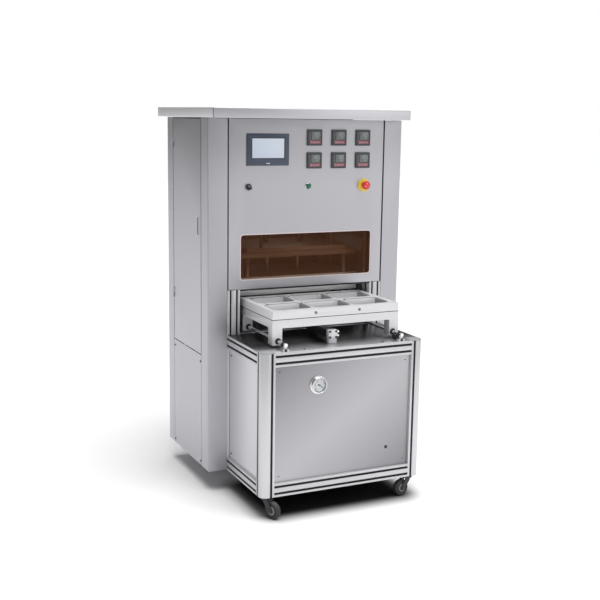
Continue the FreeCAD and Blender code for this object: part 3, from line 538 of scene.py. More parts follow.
finishes = {
    "cabinet": brushedMetal("cabinetSheet", (0.50, 0.495, 0.525), (420, 420, 5), roughness=0.42, lines=0.05,
                            clouds=0.05, dust=0.12, metallic=0.9),
    "canopy": brushedMetal("canopySheet", (0.53, 0.525, 0.55), (5, 420, 420), roughness=0.42, lines=0.05,
                           clouds=0.05, dust=0.25, metallic=0.85),
    "base": brushedMetal("baseSheet", (0.46, 0.455, 0.48), (5, 420, 420), roughness=0.36, lines=0.06,
                         clouds=0.06, metallic=0.92),
    # painted light: a lighter copy of the canopy sheet for the canopy's side faces
    "canopySide": brushedMetal("canopySideSheet", (0.76, 0.755, 0.78), (420, 5, 420), roughness=0.42,
                               lines=0.05, clouds=0.05, metallic=0.7),
    # painted light: a lighter copy of the base sheet for the base's side panels
    "baseSide": brushedMetal("baseSideSheet", (0.74, 0.735, 0.76), (420, 5, 420), roughness=0.42, lines=0.05,
                             clouds=0.05, metallic=0.75),
    "table": brushedMetal("tableSheet", (0.46, 0.46, 0.47), (6, 500, 500), roughness=0.34, lines=0.08,
                          clouds=0.05, metallic=0.95),
    "frame": mouldedPart("framePaint", (0.11, 0.115, 0.12), scale=240, roughness=0.5, contrast=0.25,
                         dust=0.2),
    "profile": brushedMetal("profileAnodised", (0.62, 0.62, 0.64), (4, 4, 700), roughness=0.42, lines=0.08,
                            clouds=0.04, metallic=0.55, dust=0.05),
    "post": brushedMetal("postAnodised", (0.64, 0.64, 0.66), (700, 700, 4), roughness=0.38, lines=0.1,
                         clouds=0.04, metallic=0.6),
    "mould": brushedMetal("mouldMilled", (0.76, 0.76, 0.78), (260, 12, 260), roughness=0.4, lines=0.08,
                          clouds=0.05, metallic=0.35, dust=0.05),
    # painted shade and painted light in the mould's pockets: a dark copy of the milled finish for the side walls,
    # a near-white copy for the back walls
    "pocket": brushedMetal("pocketMilled", (0.40, 0.40, 0.42), (20, 20, 300), roughness=0.45, lines=0.1,
                           clouds=0.06, metallic=0.6),
    "pocketWall": mouldedPart("pocketWall", (0.93, 0.93, 0.95), scale=300, roughness=0.4, contrast=0.06,
                              bump=0.04),
    "sheetSeam": mouldedPart("sheetSeam", (0.09, 0.09, 0.095), scale=400, roughness=0.6, contrast=0.2),
    "slotBlack": mouldedPart("slotBlack", (0.006, 0.006, 0.007), scale=500, roughness=0.8, contrast=0.5),
    "rimPink": mouldedPart("rimSeal", (0.76, 0.66, 0.67), scale=400, roughness=0.5, contrast=0.15, bump=0.04),
    "press": brushedMetal("pressMilled", (0.62, 0.60, 0.58), (12, 240, 240), roughness=0.4, lines=0.1,
                          clouds=0.08, metallic=0.6),
    "shaft": brushedMetal("shaftGround", (0.78, 0.78, 0.80), (30, 1200, 30), roughness=0.14, lines=0.1,
                          clouds=0.04),
    "rod": brushedMetal("rodGround", (0.30, 0.30, 0.31), (30, 30, 1200), roughness=0.42, lines=0.1,
                        clouds=0.04),
    "bright": brushedMetal("brightSteel", (0.80, 0.80, 0.82), (300, 300, 300), roughness=0.16, lines=0.05,
                           clouds=0.05),
    "steel": brushedMetal("zincSteel", (0.52, 0.53, 0.56), (90, 90, 90), roughness=0.36, lines=0.2,
                          clouds=0.12,
                          metallic=0.95),
    "black": mouldedPart("blackPlastic", (0.018, 0.018, 0.02), roughness=0.45, contrast=0.4),
    "darkSteel": brushedMetal("blackenedSteel", (0.10, 0.10, 0.11), (90, 90, 90), roughness=0.42, lines=0.2,
                              clouds=0.12, metallic=0.8),
    "capGrey": mouldedPart("capPlastic", (0.33, 0.335, 0.35), roughness=0.45, contrast=0.15),
    "hub": mouldedPart("hubPlastic", (0.20, 0.20, 0.21), roughness=0.4, contrast=0.25),
    "dialGrey": mouldedPart("dialGreyPaint", (0.35, 0.36, 0.38), scale=400, roughness=0.5, contrast=0.1,
                            bump=0.02),
    "darkGrey": mouldedPart("bezelPlastic", (0.055, 0.072, 0.105), roughness=0.42, contrast=0.15, bump=0.1),
    "meterCase": mouldedPart("meterPlastic", (0.045, 0.05, 0.055), roughness=0.4, contrast=0.3),
    "rubber": mouldedPart("blackRubber", (0.02, 0.02, 0.021), scale=500, roughness=0.68, contrast=0.5,
                          bump=0.3),
    "tyre": mouldedPart("tyreRubber", (0.03, 0.03, 0.032), scale=350, roughness=0.6, contrast=0.6, bump=0.35,
                        dust=0.2),
    "seal": mouldedPart("sealRubber", (0.24, 0.245, 0.25), scale=450, roughness=0.6, contrast=0.2),
    "yellow": mouldedPart("yellowPlastic", (0.85, 0.62, 0.03), roughness=0.35, contrast=0.1, coat=0.2),
    "red": mouldedPart("redPlastic", (0.72, 0.028, 0.018), roughness=0.28, contrast=0.12, coat=0.4,
                       bump=0.05),
    "green": mouldedPart("greenLens", (0.002, 0.15, 0.07), roughness=0.25, contrast=0.15, coat=0.5,
                         bump=0.05),
    "dial": mouldedPart("dialPaint", (0.86, 0.87, 0.88), scale=400, roughness=0.45, contrast=0.05, bump=0.03),
    "ink": mouldedPart("dialInk", (0.02, 0.02, 0.024), scale=400, roughness=0.6, contrast=0.2, bump=0.02),
    "whiteMark": mouldedPart("whiteMark", (0.8, 0.82, 0.84), scale=400, roughness=0.5, contrast=0.08,
                             bump=0.02),
    # painted glow: the smoked pane emits a faint brown veil
    "pane": smokedPane("smokedAcrylic", (0.33, 0.26, 0.205), transmission=0.99, haze=(0.020, 0.006, 0.0014)),
    "glass": smokedPane("gaugeGlass", (0.97, 0.98, 0.98), 0.01),
    "film": mouldedPart("woundFilm", (0.70, 0.74, 0.78), scale=300, roughness=0.22, contrast=0.15, coat=0.3),
}

# painted light and shade in the sheets' colour: a painted sheen along a slanting band across the base panel,
# painted shade at the cabinet's top under the canopy, and on the table painted shade under the carriage, brighter
# at the front
paintedLightSettings = {
    "x": (-0.35, 0.35), "z": (0.15, 0.66), "fall": 0.50, "power": 1.3,
    "cabinet": ("Z", 1.36, 1.66, 1.0, 0.80),
    "table": ("Y", cabinetFront - 0.40, cabinetFront - 0.25, 1.45, 0.10),
}
tree, axes = objectAxes(finishes["base"])
shares = []
for letter in ("x", "z"):
    low, high = paintedLightSettings[letter]
    shares.append(mathNode(tree, "DIVIDE", minus(tree, axes[letter.upper()], low), high - low))
off = mathNode(tree, "ABSOLUTE", minus(tree, shares[1], shares[0]), 0)
fall = times(tree, mathNode(tree, "POWER", off, paintedLightSettings["power"]), paintedLightSettings["fall"])
# painted sheen: the base panel's colour darkens away from the slanting band
shadeColor(finishes["base"], minus(tree, 1.0, fall))
# painted shade at the cabinet's top; painted shade on the table under the carriage and painted light at its front
for name in ("cabinet", "table"):
    tree, axes = objectAxes(finishes[name])
    letter, *span = paintedLightSettings[name]
    shadeColor(finishes[name], rangeNode(tree, axes[letter], *span))
print("materials ready:", len(finishes))

slotFinish = {
    "stainless_sheet": "cabinet", "frame_steel": "frame", "profile_aluminium": "profile",
    "mould_aluminium": "mould", "bright_steel": "bright", "machined_steel": "steel", "black_plastic": "black",
    "dark_plastic": "darkGrey", "tinted_acrylic": "pane", "clear_glass": "glass", "yellow_plastic": "yellow",
    "red_plastic": "red", "green_plastic": "green", "white_face": "dial", "black_rubber": "rubber",
    "seal_rubber": "seal", "film": "film", "display": "darkGrey",
}
nodeFinish = {
    # the base's side panels take the lighter copy of the base sheet: painted light
    "canopy": "canopy", "table_plate": "table", "base_front_panel": "base", "base_side_panels": "baseSide",
    "upright_posts": "post", "corner_posts": "post", "slide_shafts": "shaft", "tie_columns": "rod",
    "press_rods": "rod", "press_plate": "press", "heater_platen": "press", "caster_wheel_left": "tyre",
    "caster_wheel_right": "tyre", "door_hinge_plates": "steel",
}


def paintNode(node, material):
    piece = frame["nodes"][node]
    if not piece.data.materials:
        piece.data.materials.append(material)
    for place in piece.material_slots:
        place.material = material


nodeSlot = {part["node"]: part["material_slot"] for part in frame["record"]["subparts"]}
for nodeName, slotName in nodeSlot.items():
    paintNode(nodeName, finishes[nodeFinish.get(nodeName, slotFinish[slotName])])


# cabinet sheets: folded corners are round on the outside

sheetSettings = {"fold": 0.0024, "foldSegments": 4}


def roundFolds(piece, test):
    bevelEdges(piece, test, sheetSettings["fold"], sheetSettings["foldSegments"])


def near(first, second, slack=0.0002):
    return abs(first - second) < slack


cornerLow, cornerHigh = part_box("column_panels")
corners = cadCopy("column_panels", "cornerPanels")
roundFolds(corners, lambda a, b: abs(a.z - b.z) > 0.5 and near(abs(a.x), cornerHigh.x) and (
    near(a.y, cornerLow.y) or near(a.y, cornerHigh.y)) and near(a.x, b.x) and near(a.y, b.y))
finishPiece(corners, "machine", finishes["cabinet"], ["column_panels"])

panel = cadCopy("front_control_panel", "controlPanel")
roundFolds(panel, lambda a, b: near(a.y, panelLow.y) and near(b.y, panelLow.y) and (
    (abs(a.z - b.z) > 0.5 and near(abs(a.x), panelHigh.x)) or
    (abs(a.x - b.x) > 0.4 and near(a.z, panelLow.z) and near(b.z, panelLow.z))))
softenEdges(panel, 0.0003, 1)
finishPiece(panel, "machine", finishes["cabinet"], ["front_control_panel"])

sealSettings = {"strips": ((0.0914, 0.0046), (0.4752, 0.0044)), "deep": 0.001, "proud": 0.0003, "end": 0.002}
for side, doorBody in ((-1, "left_door"), (1, "right_door")):
    node = doorBody.replace("door", "side_door")
    doorLow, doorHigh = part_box(node)
    face = side * cornerHigh.x
    door = cadCopy(node, node.replace("_", "") + "Leaf")
    roundFolds(door, lambda a, b: near(a.x, face) and near(b.x, face) and (
        (abs(a.z - b.z) > 0.5 and (a - b).length > 0.9) or (abs(a.y - b.y) > 0.3)))
    finishPiece(door, doorBody, finishes["cabinet"], [node])
    secondFinish(door, finishes["steel"], lambda c, n: abs(c.x) > abs(face) + 0.0008)
    # rubber strips fill the joints before and behind the leaf
    strips = []
    for back, wide in sealSettings["strips"]:
        strips.append(addSideStrip(
            "strip", side, (cornerHigh.x - sealSettings["deep"], cornerHigh.x + sealSettings["proud"]),
            (cabinetFront + back, cabinetFront + back + wide),
            (doorLow.z + sealSettings["end"], doorHigh.z - sealSettings["end"])))
        softenEdges(strips[-1], 0.0002, 1)
    seals = joinPieces(strips, node.replace("_", "") + "Seals")
    finishPiece(seals, doorBody, finishes["slotBlack"])

canopyLow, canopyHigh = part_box("canopy")
canopy = cadCopy("canopy", "canopyShell")


def bothOn(a, b, low, high):
    return (near(a, low) and near(b, low)) or (near(a, high) and near(b, high))


def onCanopyFold(a, b):
    # a long edge that lies in two of the canopy's outer planes, one of them upright
    upright = all(near(v.x, canopyLow.x) or near(v.x, canopyHigh.x) or near(v.y, canopyLow.y)
                  or near(v.y, canopyHigh.y) for v in (a, b))
    planes = (near(abs(a.x), canopyHigh.x) and near(abs(b.x), canopyHigh.x),
              bothOn(a.y, b.y, canopyLow.y, canopyHigh.y), bothOn(a.z, b.z, canopyLow.z, canopyHigh.z))
    return (a - b).length > 0.03 and upright and sum(planes) > 1


roundFolds(canopy, onCanopyFold)
finishPiece(canopy, "machine", finishes["canopy"], ["canopy"])
# painted light: the canopy's side faces get the lighter copy of its sheet
secondFinish(canopy, finishes["canopySide"], lambda c, n: abs(n.x) > 0.9)

# the corner columns are closed by a narrow seam just behind their front fold
foldSeam = {"back": (0.0034, 0.0062), "deep": 0.0004, "proud": 0.00015, "end": 0.003}
seams = []
for side in (-1, 1):
    seams.append(addSideStrip(
        "foldSeam", side, (cornerHigh.x - foldSeam["deep"], cornerHigh.x + foldSeam["proud"]),
        [cabinetFront + back for back in foldSeam["back"]],
        (cornerLow.z + foldSeam["end"], cornerHigh.z - foldSeam["end"])))
finishPiece(joinPieces(seams, "columnSeams"), "machine", finishes["sheetSeam"])

# the canopy's side skirts meet the front skirt in an open corner joint
skirtSeam = {"back": (0.0012, 0.0072), "across": (-0.0001, 0.0003), "foot": 0.001, "head": 0.002}
seams = []
for side in (-1, 1):
    seams.append(addSideStrip(
        "seamStrip", side, [canopyHigh.x + out for out in skirtSeam["across"]],
        [canopyLow.y + back for back in skirtSeam["back"]],
        (canopyLow.z + skirtSeam["foot"], canopyHigh.z - skirtSeam["head"])))
    softenEdges(seams[-1], 0.0001, 1)
finishPiece(joinPieces(seams, "canopyCornerSeams"), "machine", finishes["rubber"])
print("cabinet sheets done")


# window and the rubber under the panel

windowSettings = {"wide": 0.654, "tall": 0.1995, "low": 0.9745, "round": 0.012, "rim": 0.004, "proud": 0.0004}


def addWindowRim(settings):
    edge = settings["rim"]
    low = Vector((-settings["wide"] / 2 - edge, cabinetFront - settings["proud"], settings["low"] - edge))
    high = Vector((settings["wide"] / 2 + edge, cabinetFront + 0.001,
                   settings["low"] + settings["tall"] + edge))
    rim = addCube("windowRim", low, high)
    bevelEdges(rim, lambda a, b: abs(a.y - b.y) > 0.001, settings["round"] + edge, 6)
    openRing(rim, 1, edge)
    finishPiece(rim, "machine", finishes["rimPink"])


addWindowRim(windowSettings)

edgeSettings = {"drop": 0.007, "lap": 0.0004, "back": (0.0006, 0.016), "inset": 0.003,
                "groove": (0.004, -0.002)}
strip = addCube("panelEdgeRubber",
                (panelLow.x + edgeSettings["inset"], panelLow.y + edgeSettings["back"][0],
                 panelLow.z - edgeSettings["drop"]),
                (panelHigh.x - edgeSettings["inset"], panelLow.y + edgeSettings["back"][1],
                 panelLow.z + edgeSettings["lap"]))
insetFaces(strip, lambda c, n: n.z < -0.9, edgeSettings["groove"])
softenEdges(strip, 0.0012, 3)
finishPiece(strip, "machine", finishes["rubber"])


# operator display

displaySettings = {
    "edge": 0.0018, "glow": 0.35, "low": (0.42, 0.465, 0.545), "high": (0.54, 0.585, 0.655),
    "rim": 0.0026, "rimProud": 0.0016, "rimDeep": 0.0004,
    "mark": (0.018, 0.003), "markLow": 0.0085, "markProud": 0.0003,
}
screenLow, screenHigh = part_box("hmi_screen")
display = cadCopy("hmi_case", "displayCase")
softenEdges(display, displaySettings["edge"], 3)
finishPiece(display, "machine", finishes["darkGrey"], ["hmi_case"])
paintNode("hmi_screen", litScreen("displayGlow", displaySettings["low"], displaySettings["high"], screenLow,
                                  screenHigh, displaySettings["glow"]))
rimWide = displaySettings["rim"]
screenRim = addCube("displayRim",
                    (screenLow.x - rimWide, screenLow.y - displaySettings["rimProud"], screenLow.z - rimWide),
                    (screenHigh.x + rimWide, screenLow.y + displaySettings["rimDeep"],
                     screenHigh.z + rimWide))
openRing(screenRim, 1, rimWide)
softenEdges(screenRim, 0.0004, 2)
finishPiece(screenRim, "machine", finishes["black"])
hmiLow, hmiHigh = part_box("hmi_case")
markWide, markTall = displaySettings["mark"]
markLow = Vector(((hmiLow.x + hmiHigh.x - markWide) / 2, hmiLow.y - displaySettings["markProud"],
                  hmiLow.z + displaySettings["markLow"]))
mark = addCube("displayMark", markLow,
               markLow + Vector((markWide, 2 * displaySettings["markProud"], markTall)))
softenEdges(mark, 0.0001, 1)
finishPiece(mark, "machine", finishes["whiteMark"])


# temperature controllers: a dark front with a display field, digits, a red lower field and keys

meterSettings = {
    "field": (0.22, 0.95, 0.34, 0.92), "lamp": 0.0011, "lamps": (0.34, 0.50, 0.66, 0.80),
    "lower": (0.08, 0.97, 0.04, 0.28), "keys": (0.20, 0.40, 0.60, 0.80), "keyLow": 0.10, "keyTall": 0.10,
    "keyHalf": 0.0042, "keyProud": 0.0012, "lampX": 0.09, "proud": 0.0007,
    # number, left and foot as shares of the front, height
    "digits": (("upperDigits", "185", 0.36, 0.60, 0.0165), ("lowerDigits", "180", 0.55, 0.42, 0.0075)),
}
fieldFinish = mouldedPart("meterField", (0.135, 0.15, 0.148), scale=600, roughness=0.3, contrast=0.25,
                          bump=0.02)
lowerFinish = mouldedPart("meterLowerField", (0.30, 0.095, 0.125), scale=600, roughness=0.3, contrast=0.3,
                          bump=0.02)
digitFinish = mouldedPart("meterDigit", (0.36, 0.39, 0.39), scale=500, roughness=0.4, contrast=0.1, bump=0.02)
keyFinish = mouldedPart("meterKey", (0.42, 0.26, 0.29), scale=700, roughness=0.5, contrast=0.2)

segmentPlaces = {  # a: top, b and c: right, d: foot, e and f: left, g: middle
    "a": (0.5, 1.0, True), "b": (1.0, 0.75, False), "c": (1.0, 0.25, False), "d": (0.5, 0.0, True),
    "e": (0.0, 0.25, False), "f": (0.0, 0.75, False), "g": (0.5, 0.5, True)}
digitSegments = {"0": "abcdef", "1": "bc", "5": "acdfg", "8": "abcdefg"}


def addDigits(text, left, low, tall, y, name):
    # seven-segment numbers standing in the X Z plane
    parts = []
    wide, thick = tall * 0.48, tall * 0.13
    for number, letter in enumerate(text):
        start = left + number * tall * 0.72
        for segment in digitSegments[letter]:
            across, upward, flat = segmentPlaces[segment]
            centre = Vector((start + across * wide, y, low + upward * tall))
            reach = (wide * 0.40, thick / 2) if flat else (thick / 2, tall * 0.20)
            half = Vector((reach[0], 0.0001, reach[1]))
            parts.append(addCube("segment", centre - half, centre + half))
    return joinPieces(parts, name)


meterFinish = {"meterFields": fieldFinish, "meterLowerFields": lowerFinish, "meterDigits": digitFinish,
               "meterLamps": finishes["whiteMark"], "meterKeys": keyFinish}
meterParts = {name: [] for name in meterFinish}
meterBoxes = solidBoxes("controller_displays")
firstLow, firstHigh = meterBoxes[0]
meterWide = firstHigh.x - firstLow.x
meterFace = firstLow.y


def onMeter(across, upward, out):
    # a point of the first controller's front: shares of its width from the lower left corner
    return Vector((firstLow.x + across * meterWide, meterFace - out, firstLow.z + upward * meterWide))


def meterField(name, span):
    field = addCube(name, onMeter(span[0], span[2], meterSettings["proud"]),
                    onMeter(span[1], span[3], -0.0002))
    insetFaces(field, lambda c, n: n.y < -0.9, (0.0008, -0.0002))
    return field


def meterDigits():
    numbers = []
    for name, text, across, upward, tall in meterSettings["digits"]:
        place = onMeter(across, upward, meterSettings["proud"])
        numbers.append(addDigits(text, place.x, place.z, tall, place.y, name))
    return joinPieces(numbers, "digits")


lampDots = []
for share in meterSettings["lamps"]:
    lampDots.append(addDrum("lamp", onMeter(meterSettings["lampX"], share, 0.0003), meterSettings["lamp"],
                            0.0008, "Y", 12))
keyCaps = []
keyHalf = Vector((meterSettings["keyHalf"], 0, 0))
for share in meterSettings["keys"]:
    foot = onMeter(share, meterSettings["keyLow"], meterSettings["keyProud"])
    head = onMeter(share, meterSettings["keyLow"] + meterSettings["keyTall"], -0.0002)
    keyCaps.append(addCube("key", foot - keyHalf, head + keyHalf))
    softenEdges(keyCaps[-1], 0.0006, 2)
template = {
    "meterFields": meterField("field", meterSettings["field"]),
    "meterLowerFields": meterField("lowerField", meterSettings["lower"]),
    "meterDigits": meterDigits(),
    "meterLamps": joinPieces(lampDots, "lamps"),
    "meterKeys": joinPieces(keyCaps, "keys"),
}
for low, high in meterBoxes:
    move = Matrix.Translation(low - firstLow)
    for name, source in template.items():
        copy = copyMesh(source, name + "Copy")
        copy.data.transform(move)
        meterParts[name].append(copy)
for source in template.values():
    bpy.data.objects.remove(source)
for name, material in meterFinish.items():
    finishPiece(joinPieces(meterParts[name], name), "machine", material)
paintNode("controller_displays", finishes["meterCase"])
meterCases = cadCopy("temperature_controllers", "meterCases")
softenEdges(meterCases, 0.001, 2)
finishPiece(meterCases, "machine", finishes["meterCase"], ["temperature_controllers"])
print("control panel devices done")


# key switch, start button, emergency stop


def softCopy(node, name, body, finish, width, segments=2, angle=30):
    piece = cadCopy(node, name)
    softenEdges(piece, width, segments, angle)
    return finishPiece(piece, body, finishes[finish], [node])


lensLow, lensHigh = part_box("start_button_cap")
lensCentre = (lensLow + lensHigh) / 2
collars = softCopy("control_collars", "deviceCollars", "machine", "bright", 0.0006)
secondFinish(collars, finishes["darkSteel"], lambda c, n: c.x < lensLow.x - 0.1)
secondFinish(collars, finishes["green"],
             lambda c, n: math.hypot(c.x - lensCentre.x, c.z - lensCentre.z) < 0.0128)
softCopy("key_switch_knob", "keySwitchKnob", "key_knob", "black", 0.0012, 3)
softCopy("start_button_cap", "startButtonCap", "start_button", "green", 0.0016, 3)
softCopy("estop_mushroom", "stopMushroom", "estop_head", "red", 0.0022, 4, 20)
softCopy("estop_legend", "stopLegend", "machine", "yellow", 0.0004)

knobLow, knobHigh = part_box("key_switch_knob")
knobCentre = (knobLow + knobHigh) / 2
pointer = addCube("keyPointer", (knobCentre.x - 0.0007, knobLow.y - 0.0002, knobCentre.z + 0.001),
                  (knobCentre.x + 0.0007, knobLow.y + 0.0006, knobCentre.z + 0.0098))
softenEdges(pointer, 0.0002, 1)
pointerTurn = math.radians(45)
pointer.data.transform(Matrix.Translation(knobCentre) @ Matrix.Rotation(-pointerTurn, 4, "Y")
                       @ Matrix.Translation(-knobCentre))
finishPiece(pointer, "key_knob", finishes["whiteMark"])

# raised turning arrows on the mushroom: a bar and a three-cornered head, three times round
arrowSettings = {"reach": 0.0074, "bar": (0.0048, 0.0014), "head": 0.0017, "thick": 0.0004}
headLow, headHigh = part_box("estop_mushroom")
headCentre = (headLow + headHigh) / 2
arrows = []
for step in range(3):
    length, wide = arrowSettings["bar"]
    bar = addCube("arrowBar", (-length / 2, -arrowSettings["thick"], -wide / 2),
                  (length / 2, 0.0001, wide / 2))
    softenEdges(bar, 0.0001, 1)
    tip = addDrum("arrowTip", (0, 0, 0), arrowSettings["head"], arrowSettings["thick"], "Y", 3)
    tip.data.transform(Matrix.Translation((length / 2, -arrowSettings["thick"] / 2, 0))
                       @ Matrix.Rotation(math.pi / 2, 4, "Y"))
    for part in (bar, tip):
        part.data.transform(Matrix.Translation((headCentre.x, headLow.y, headCentre.z))
                            @ Matrix.Rotation(math.radians(120 * step), 4, "Y")
                            @ Matrix.Translation((0, 0, arrowSettings["reach"])))
        arrows.append(part)
finishPiece(joinPieces(arrows, "stopArrows"), "estop_head", finishes["whiteMark"])
print("buttons done")


# slotted profile base: rounded outer edges, strips in the slots, caps

profileEdge = 0.0007
rails = cadCopy("base_rails", "baseRails")
softenEdges(rails, profileEdge, 2, 40)
finishPiece(rails, "machine", finishes["profile"], ["base_rails"])
for node, name in (("upright_posts", "rearPosts"), ("corner_posts", "cornerPosts")):
    posts = cadCopy(node, name)
    softenEdges(posts, profileEdge, 2, 40)
    finishPiece(posts, "machine", finishes["post"], [node])
softCopy("table_plate", "tableSheet", "machine", "table", 0.0006)
secondFinish(softCopy("plastic_caps", "postCaps", "machine", "capGrey", 0.0005),
             finishes["black"], lambda c, n: c.z < 0.5)
softCopy("shaft_supports", "shaftSupports", "machine", "mould", 0.0008)
softCopy("shaft_bumpers", "shaftBumpers", "machine", "rubber", 0.0012, 3)
softCopy("linear_bushes", "carriageBushes", "carriage", "black", 0.001, 2)
softCopy("carriage_frame", "carriageFrame", "carriage", "mould", 0.0008)
mouldLow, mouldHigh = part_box("lower_mould")
trayMould = softCopy("lower_mould", "trayMould", "carriage", "mould", 0.0012, 2, 40)
# painted shade on the pockets' side walls, painted light on their back walls
secondFinish(trayMould, finishes["pocket"],
             lambda c, n: abs(n.x) > 0.5 and abs(c.x) < 0.29 and abs(n.z) < 0.3)
secondFinish(trayMould, finishes["pocketWall"], lambda c, n: n.y < -0.5 and c.y > mouldLow.y + 0.01
             and abs(c.x) < 0.29)
softCopy("upper_mould", "upperMould", "press", "mould", 0.0012, 2)
softCopy("press_plate", "pressSlab", "press", "press", 0.0012, 2)
cylinderLow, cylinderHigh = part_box("carriage_cylinder")
cylinderBody = softCopy("carriage_cylinder", "cylinderBody", "machine", "mould", 0.0012)
secondFinish(cylinderBody, finishes["black"],
             lambda c, n: cylinderLow.y + 0.026 < c.y < cylinderHigh.y - 0.026)
softCopy("caster_fork_left", "casterForkLeft", "left_fork", "black", 0.0007)
softCopy("caster_fork_right", "casterForkRight", "right_fork", "black", 0.0007)
softCopy("caster_plates", "casterPlates", "machine", "black", 0.0006)
softCopy("levelling_feet", "levellingFeet", "machine", "rubber", 0.0015, 3)

plugSettings = {"centre": (0.219, 0.247), "radius": 0.0075, "thick": 0.0018}
plugX, plugZ = plugSettings["centre"]
plug = addDrum("panelPlug", (plugX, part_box("base_front_panel")[0].y, plugZ),
               plugSettings["radius"], plugSettings["thick"], "Y", 32)
softenEdges(plug, 0.0005, 2)
finishPiece(plug, "machine", finishes["slotBlack"])

# strips clipped into the profile slots, a little wider than the slot mouths
stripSettings = {"lap": 0.00135, "proud": 0.0003}
baseMiddle = (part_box("base_rails")[0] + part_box("base_rails")[1]) / 2
strips = []
for low, high in solidBoxes("slot_covers"):
    size = high - low
    order = sorted(range(3), key=lambda axis: size[axis])
    low[order[1]] -= stripSettings["lap"]
    high[order[1]] += stripSettings["lap"]
    if (low[order[0]] + high[order[0]]) / 2 > baseMiddle[order[0]]:
        high[order[0]] += stripSettings["proud"]
    else:
        low[order[0]] -= stripSettings["proud"]
    strips.append(addCube("slotStrip", low, high))
finishPiece(joinPieces(strips, "slotStrips"), "machine", finishes["slotBlack"],
            ["slot_covers"])

# gasket between the mould and its frame
gasketSettings = {"proud": 0.0003, "low": 0.8457, "high": 0.8483, "deep": 0.003}
lap = gasketSettings["proud"]
gasket = addCube("mouldGasket", (mouldLow.x - lap, mouldLow.y - lap, gasketSettings["low"]),
                 (mouldHigh.x + lap, mouldHigh.y + lap, gasketSettings["high"]))
openRing(gasket, 2, gasketSettings["deep"])
finishPiece(gasket, "carriage", finishes["slotBlack"])
print("base and carriage done")


# screws: button heads with a hexagon socket

screwSettings = {"radius": 0.00475, "tall": 0.0027, "socket": 0.0021, "socketDeep": 0.0016}


def addScrewHead(settings):
    # a button head standing on the X Y plane, its socket cut from above
    head = addDrum("screwHead", (0, 0, settings["tall"] / 2), settings["radius"], settings["tall"], "Z", 24)
    bevelEdges(head, lambda a, b: near(a.z, settings["tall"]) and near(b.z, settings["tall"]),
               settings["tall"] * 0.62, 4)
    socket = addDrum("socket", (0, 0, settings["tall"]), settings["socket"],
                     2 * settings["socketDeep"], "Z", 6)
    modifier = head.modifiers.new("socket", "BOOLEAN")
    modifier.operation = "DIFFERENCE"
    modifier.object = socket
    makeActive(head)
    bpy.ops.object.modifier_apply(modifier="socket")
    bpy.data.objects.remove(socket)
    return head


screwHead = addScrewHead(screwSettings)
screws = []
for low, high in solidBoxes("panel_screws"):
    # the head stands on top, on the front or on the outer side of the screw's own solid
    size = high - low
    point = (low + high) / 2
    turn = Matrix.Identity(4)
    if size.z < size.x:
        point.z = high.z - screwSettings["tall"]
    elif size.y < size.x:
        point.y = low.y + screwSettings["tall"]
        turn = Matrix.Rotation(math.pi / 2, 4, "X")
    elif point.x > 0:
        point.x = high.x - screwSettings["tall"]
        turn = Matrix.Rotation(math.pi / 2, 4, "Y")
    else:
        point.x = low.x + screwSettings["tall"]
        turn = Matrix.Rotation(-math.pi / 2, 4, "Y")
    place = Matrix.Translation(point) @ turn
    copy = copyMesh(screwHead, "screwCopy")
    copy.data.transform(place @ Matrix.Rotation(math.radians(37 * len(screws)), 4, "Z"))
    screws.append(copy)
bpy.data.objects.remove(screwHead)
finishPiece(joinPieces(screws, "panelScrews"), "machine", finishes["darkSteel"],
            ["panel_screws"])


def addBolts(name, places, radius, tall, body, slot, material, socket=0.45):
    # socket-head bolts: each place is a point and the direction in which the head stands
    bolt = addDrum("bolt", (0, 0, tall / 2), radius, tall, "Z", 20)
    bevelEdges(bolt, lambda a, b: near(a.z, tall, 0.00001) and near(b.z, tall, 0.00001), radius * 0.14, 2)
    insetFaces(bolt, lambda c, n: n.z > 0.9, (radius * socket, 0), (radius * 0.02, -tall * 0.5))
    bolts = []
    for point, direction in places:
        copy = copyMesh(bolt, "boltCopy")
        turn = Vector(direction).to_track_quat("Z", "Y").to_matrix().to_4x4()
        copy.data.transform(Matrix.Translation(Vector(point)) @ turn)
        bolts.append(copy)
    bpy.data.objects.remove(bolt)
    return finishPiece(joinPieces(bolts, name), body, material)


# bolts of the shaft supports and the mould's dowels
supportBoltSettings = {"frontUp": 0.0042, "footUp": 0.008, "apart": 0.0105, "radius": 0.0034, "proud": 0.0016}
supportBolts = []
for low, high in solidBoxes("shaft_supports"):
    across, along = (low.x + high.x) / 2, (low.y + high.y) / 2
    end, facing = (low.y, -1) if low.y < cabinetFront else (high.y, 1)
    supportBolts.append(((across, end, tableTop + supportBoltSettings["frontUp"]), (0, facing, 0)))
    for side in (-1, 1):
        supportBolts.append(((across + side * supportBoltSettings["apart"], along,
                              tableTop + supportBoltSettings["footUp"]), (0, 0, 1)))
addBolts("supportBolts", supportBolts, supportBoltSettings["radius"], supportBoltSettings["proud"], "machine",
         "black_plastic", finishes["black"])

dowels = {"radius": 0.0045, "proud": 0.0006, "places": (
    (-0.261, 0.017), (-0.260, -0.147), (-0.094, -0.002), (-0.093, -0.148), (0.122, 0.021), (0.123, -0.147))}
dowelPlaces = [((x, y + cabinetFront, mouldHigh.z - 0.0002), (0, 0, 1)) for x, y in dowels["places"]]
addBolts("mouldScrews", dowelPlaces, dowels["radius"], dowels["proud"], "carriage", "machined_steel",
         finishes["darkSteel"], 0.3)

# blackened threaded rings line the two ports in the mould's front face
portSettings = {"across": (-0.104, 0.109), "up": 0.0205, "radius": 0.0058, "wall": 0.0013, "thick": 0.0008}
portRings = []
for across in portSettings["across"]:
    ring = addDrum("portRing", (across, mouldLow.y - 0.0002, mouldLow.z + portSettings["up"]),
                   portSettings["radius"], portSettings["thick"], "Y", 28)
    portRings.append(openRing(ring, 1, portSettings["wall"]))
finishPiece(joinPieces(portRings, "mouldPortRings"), "carriage", finishes["black"])


# rodless cylinder: fittings, sealing band and end-cap bolts

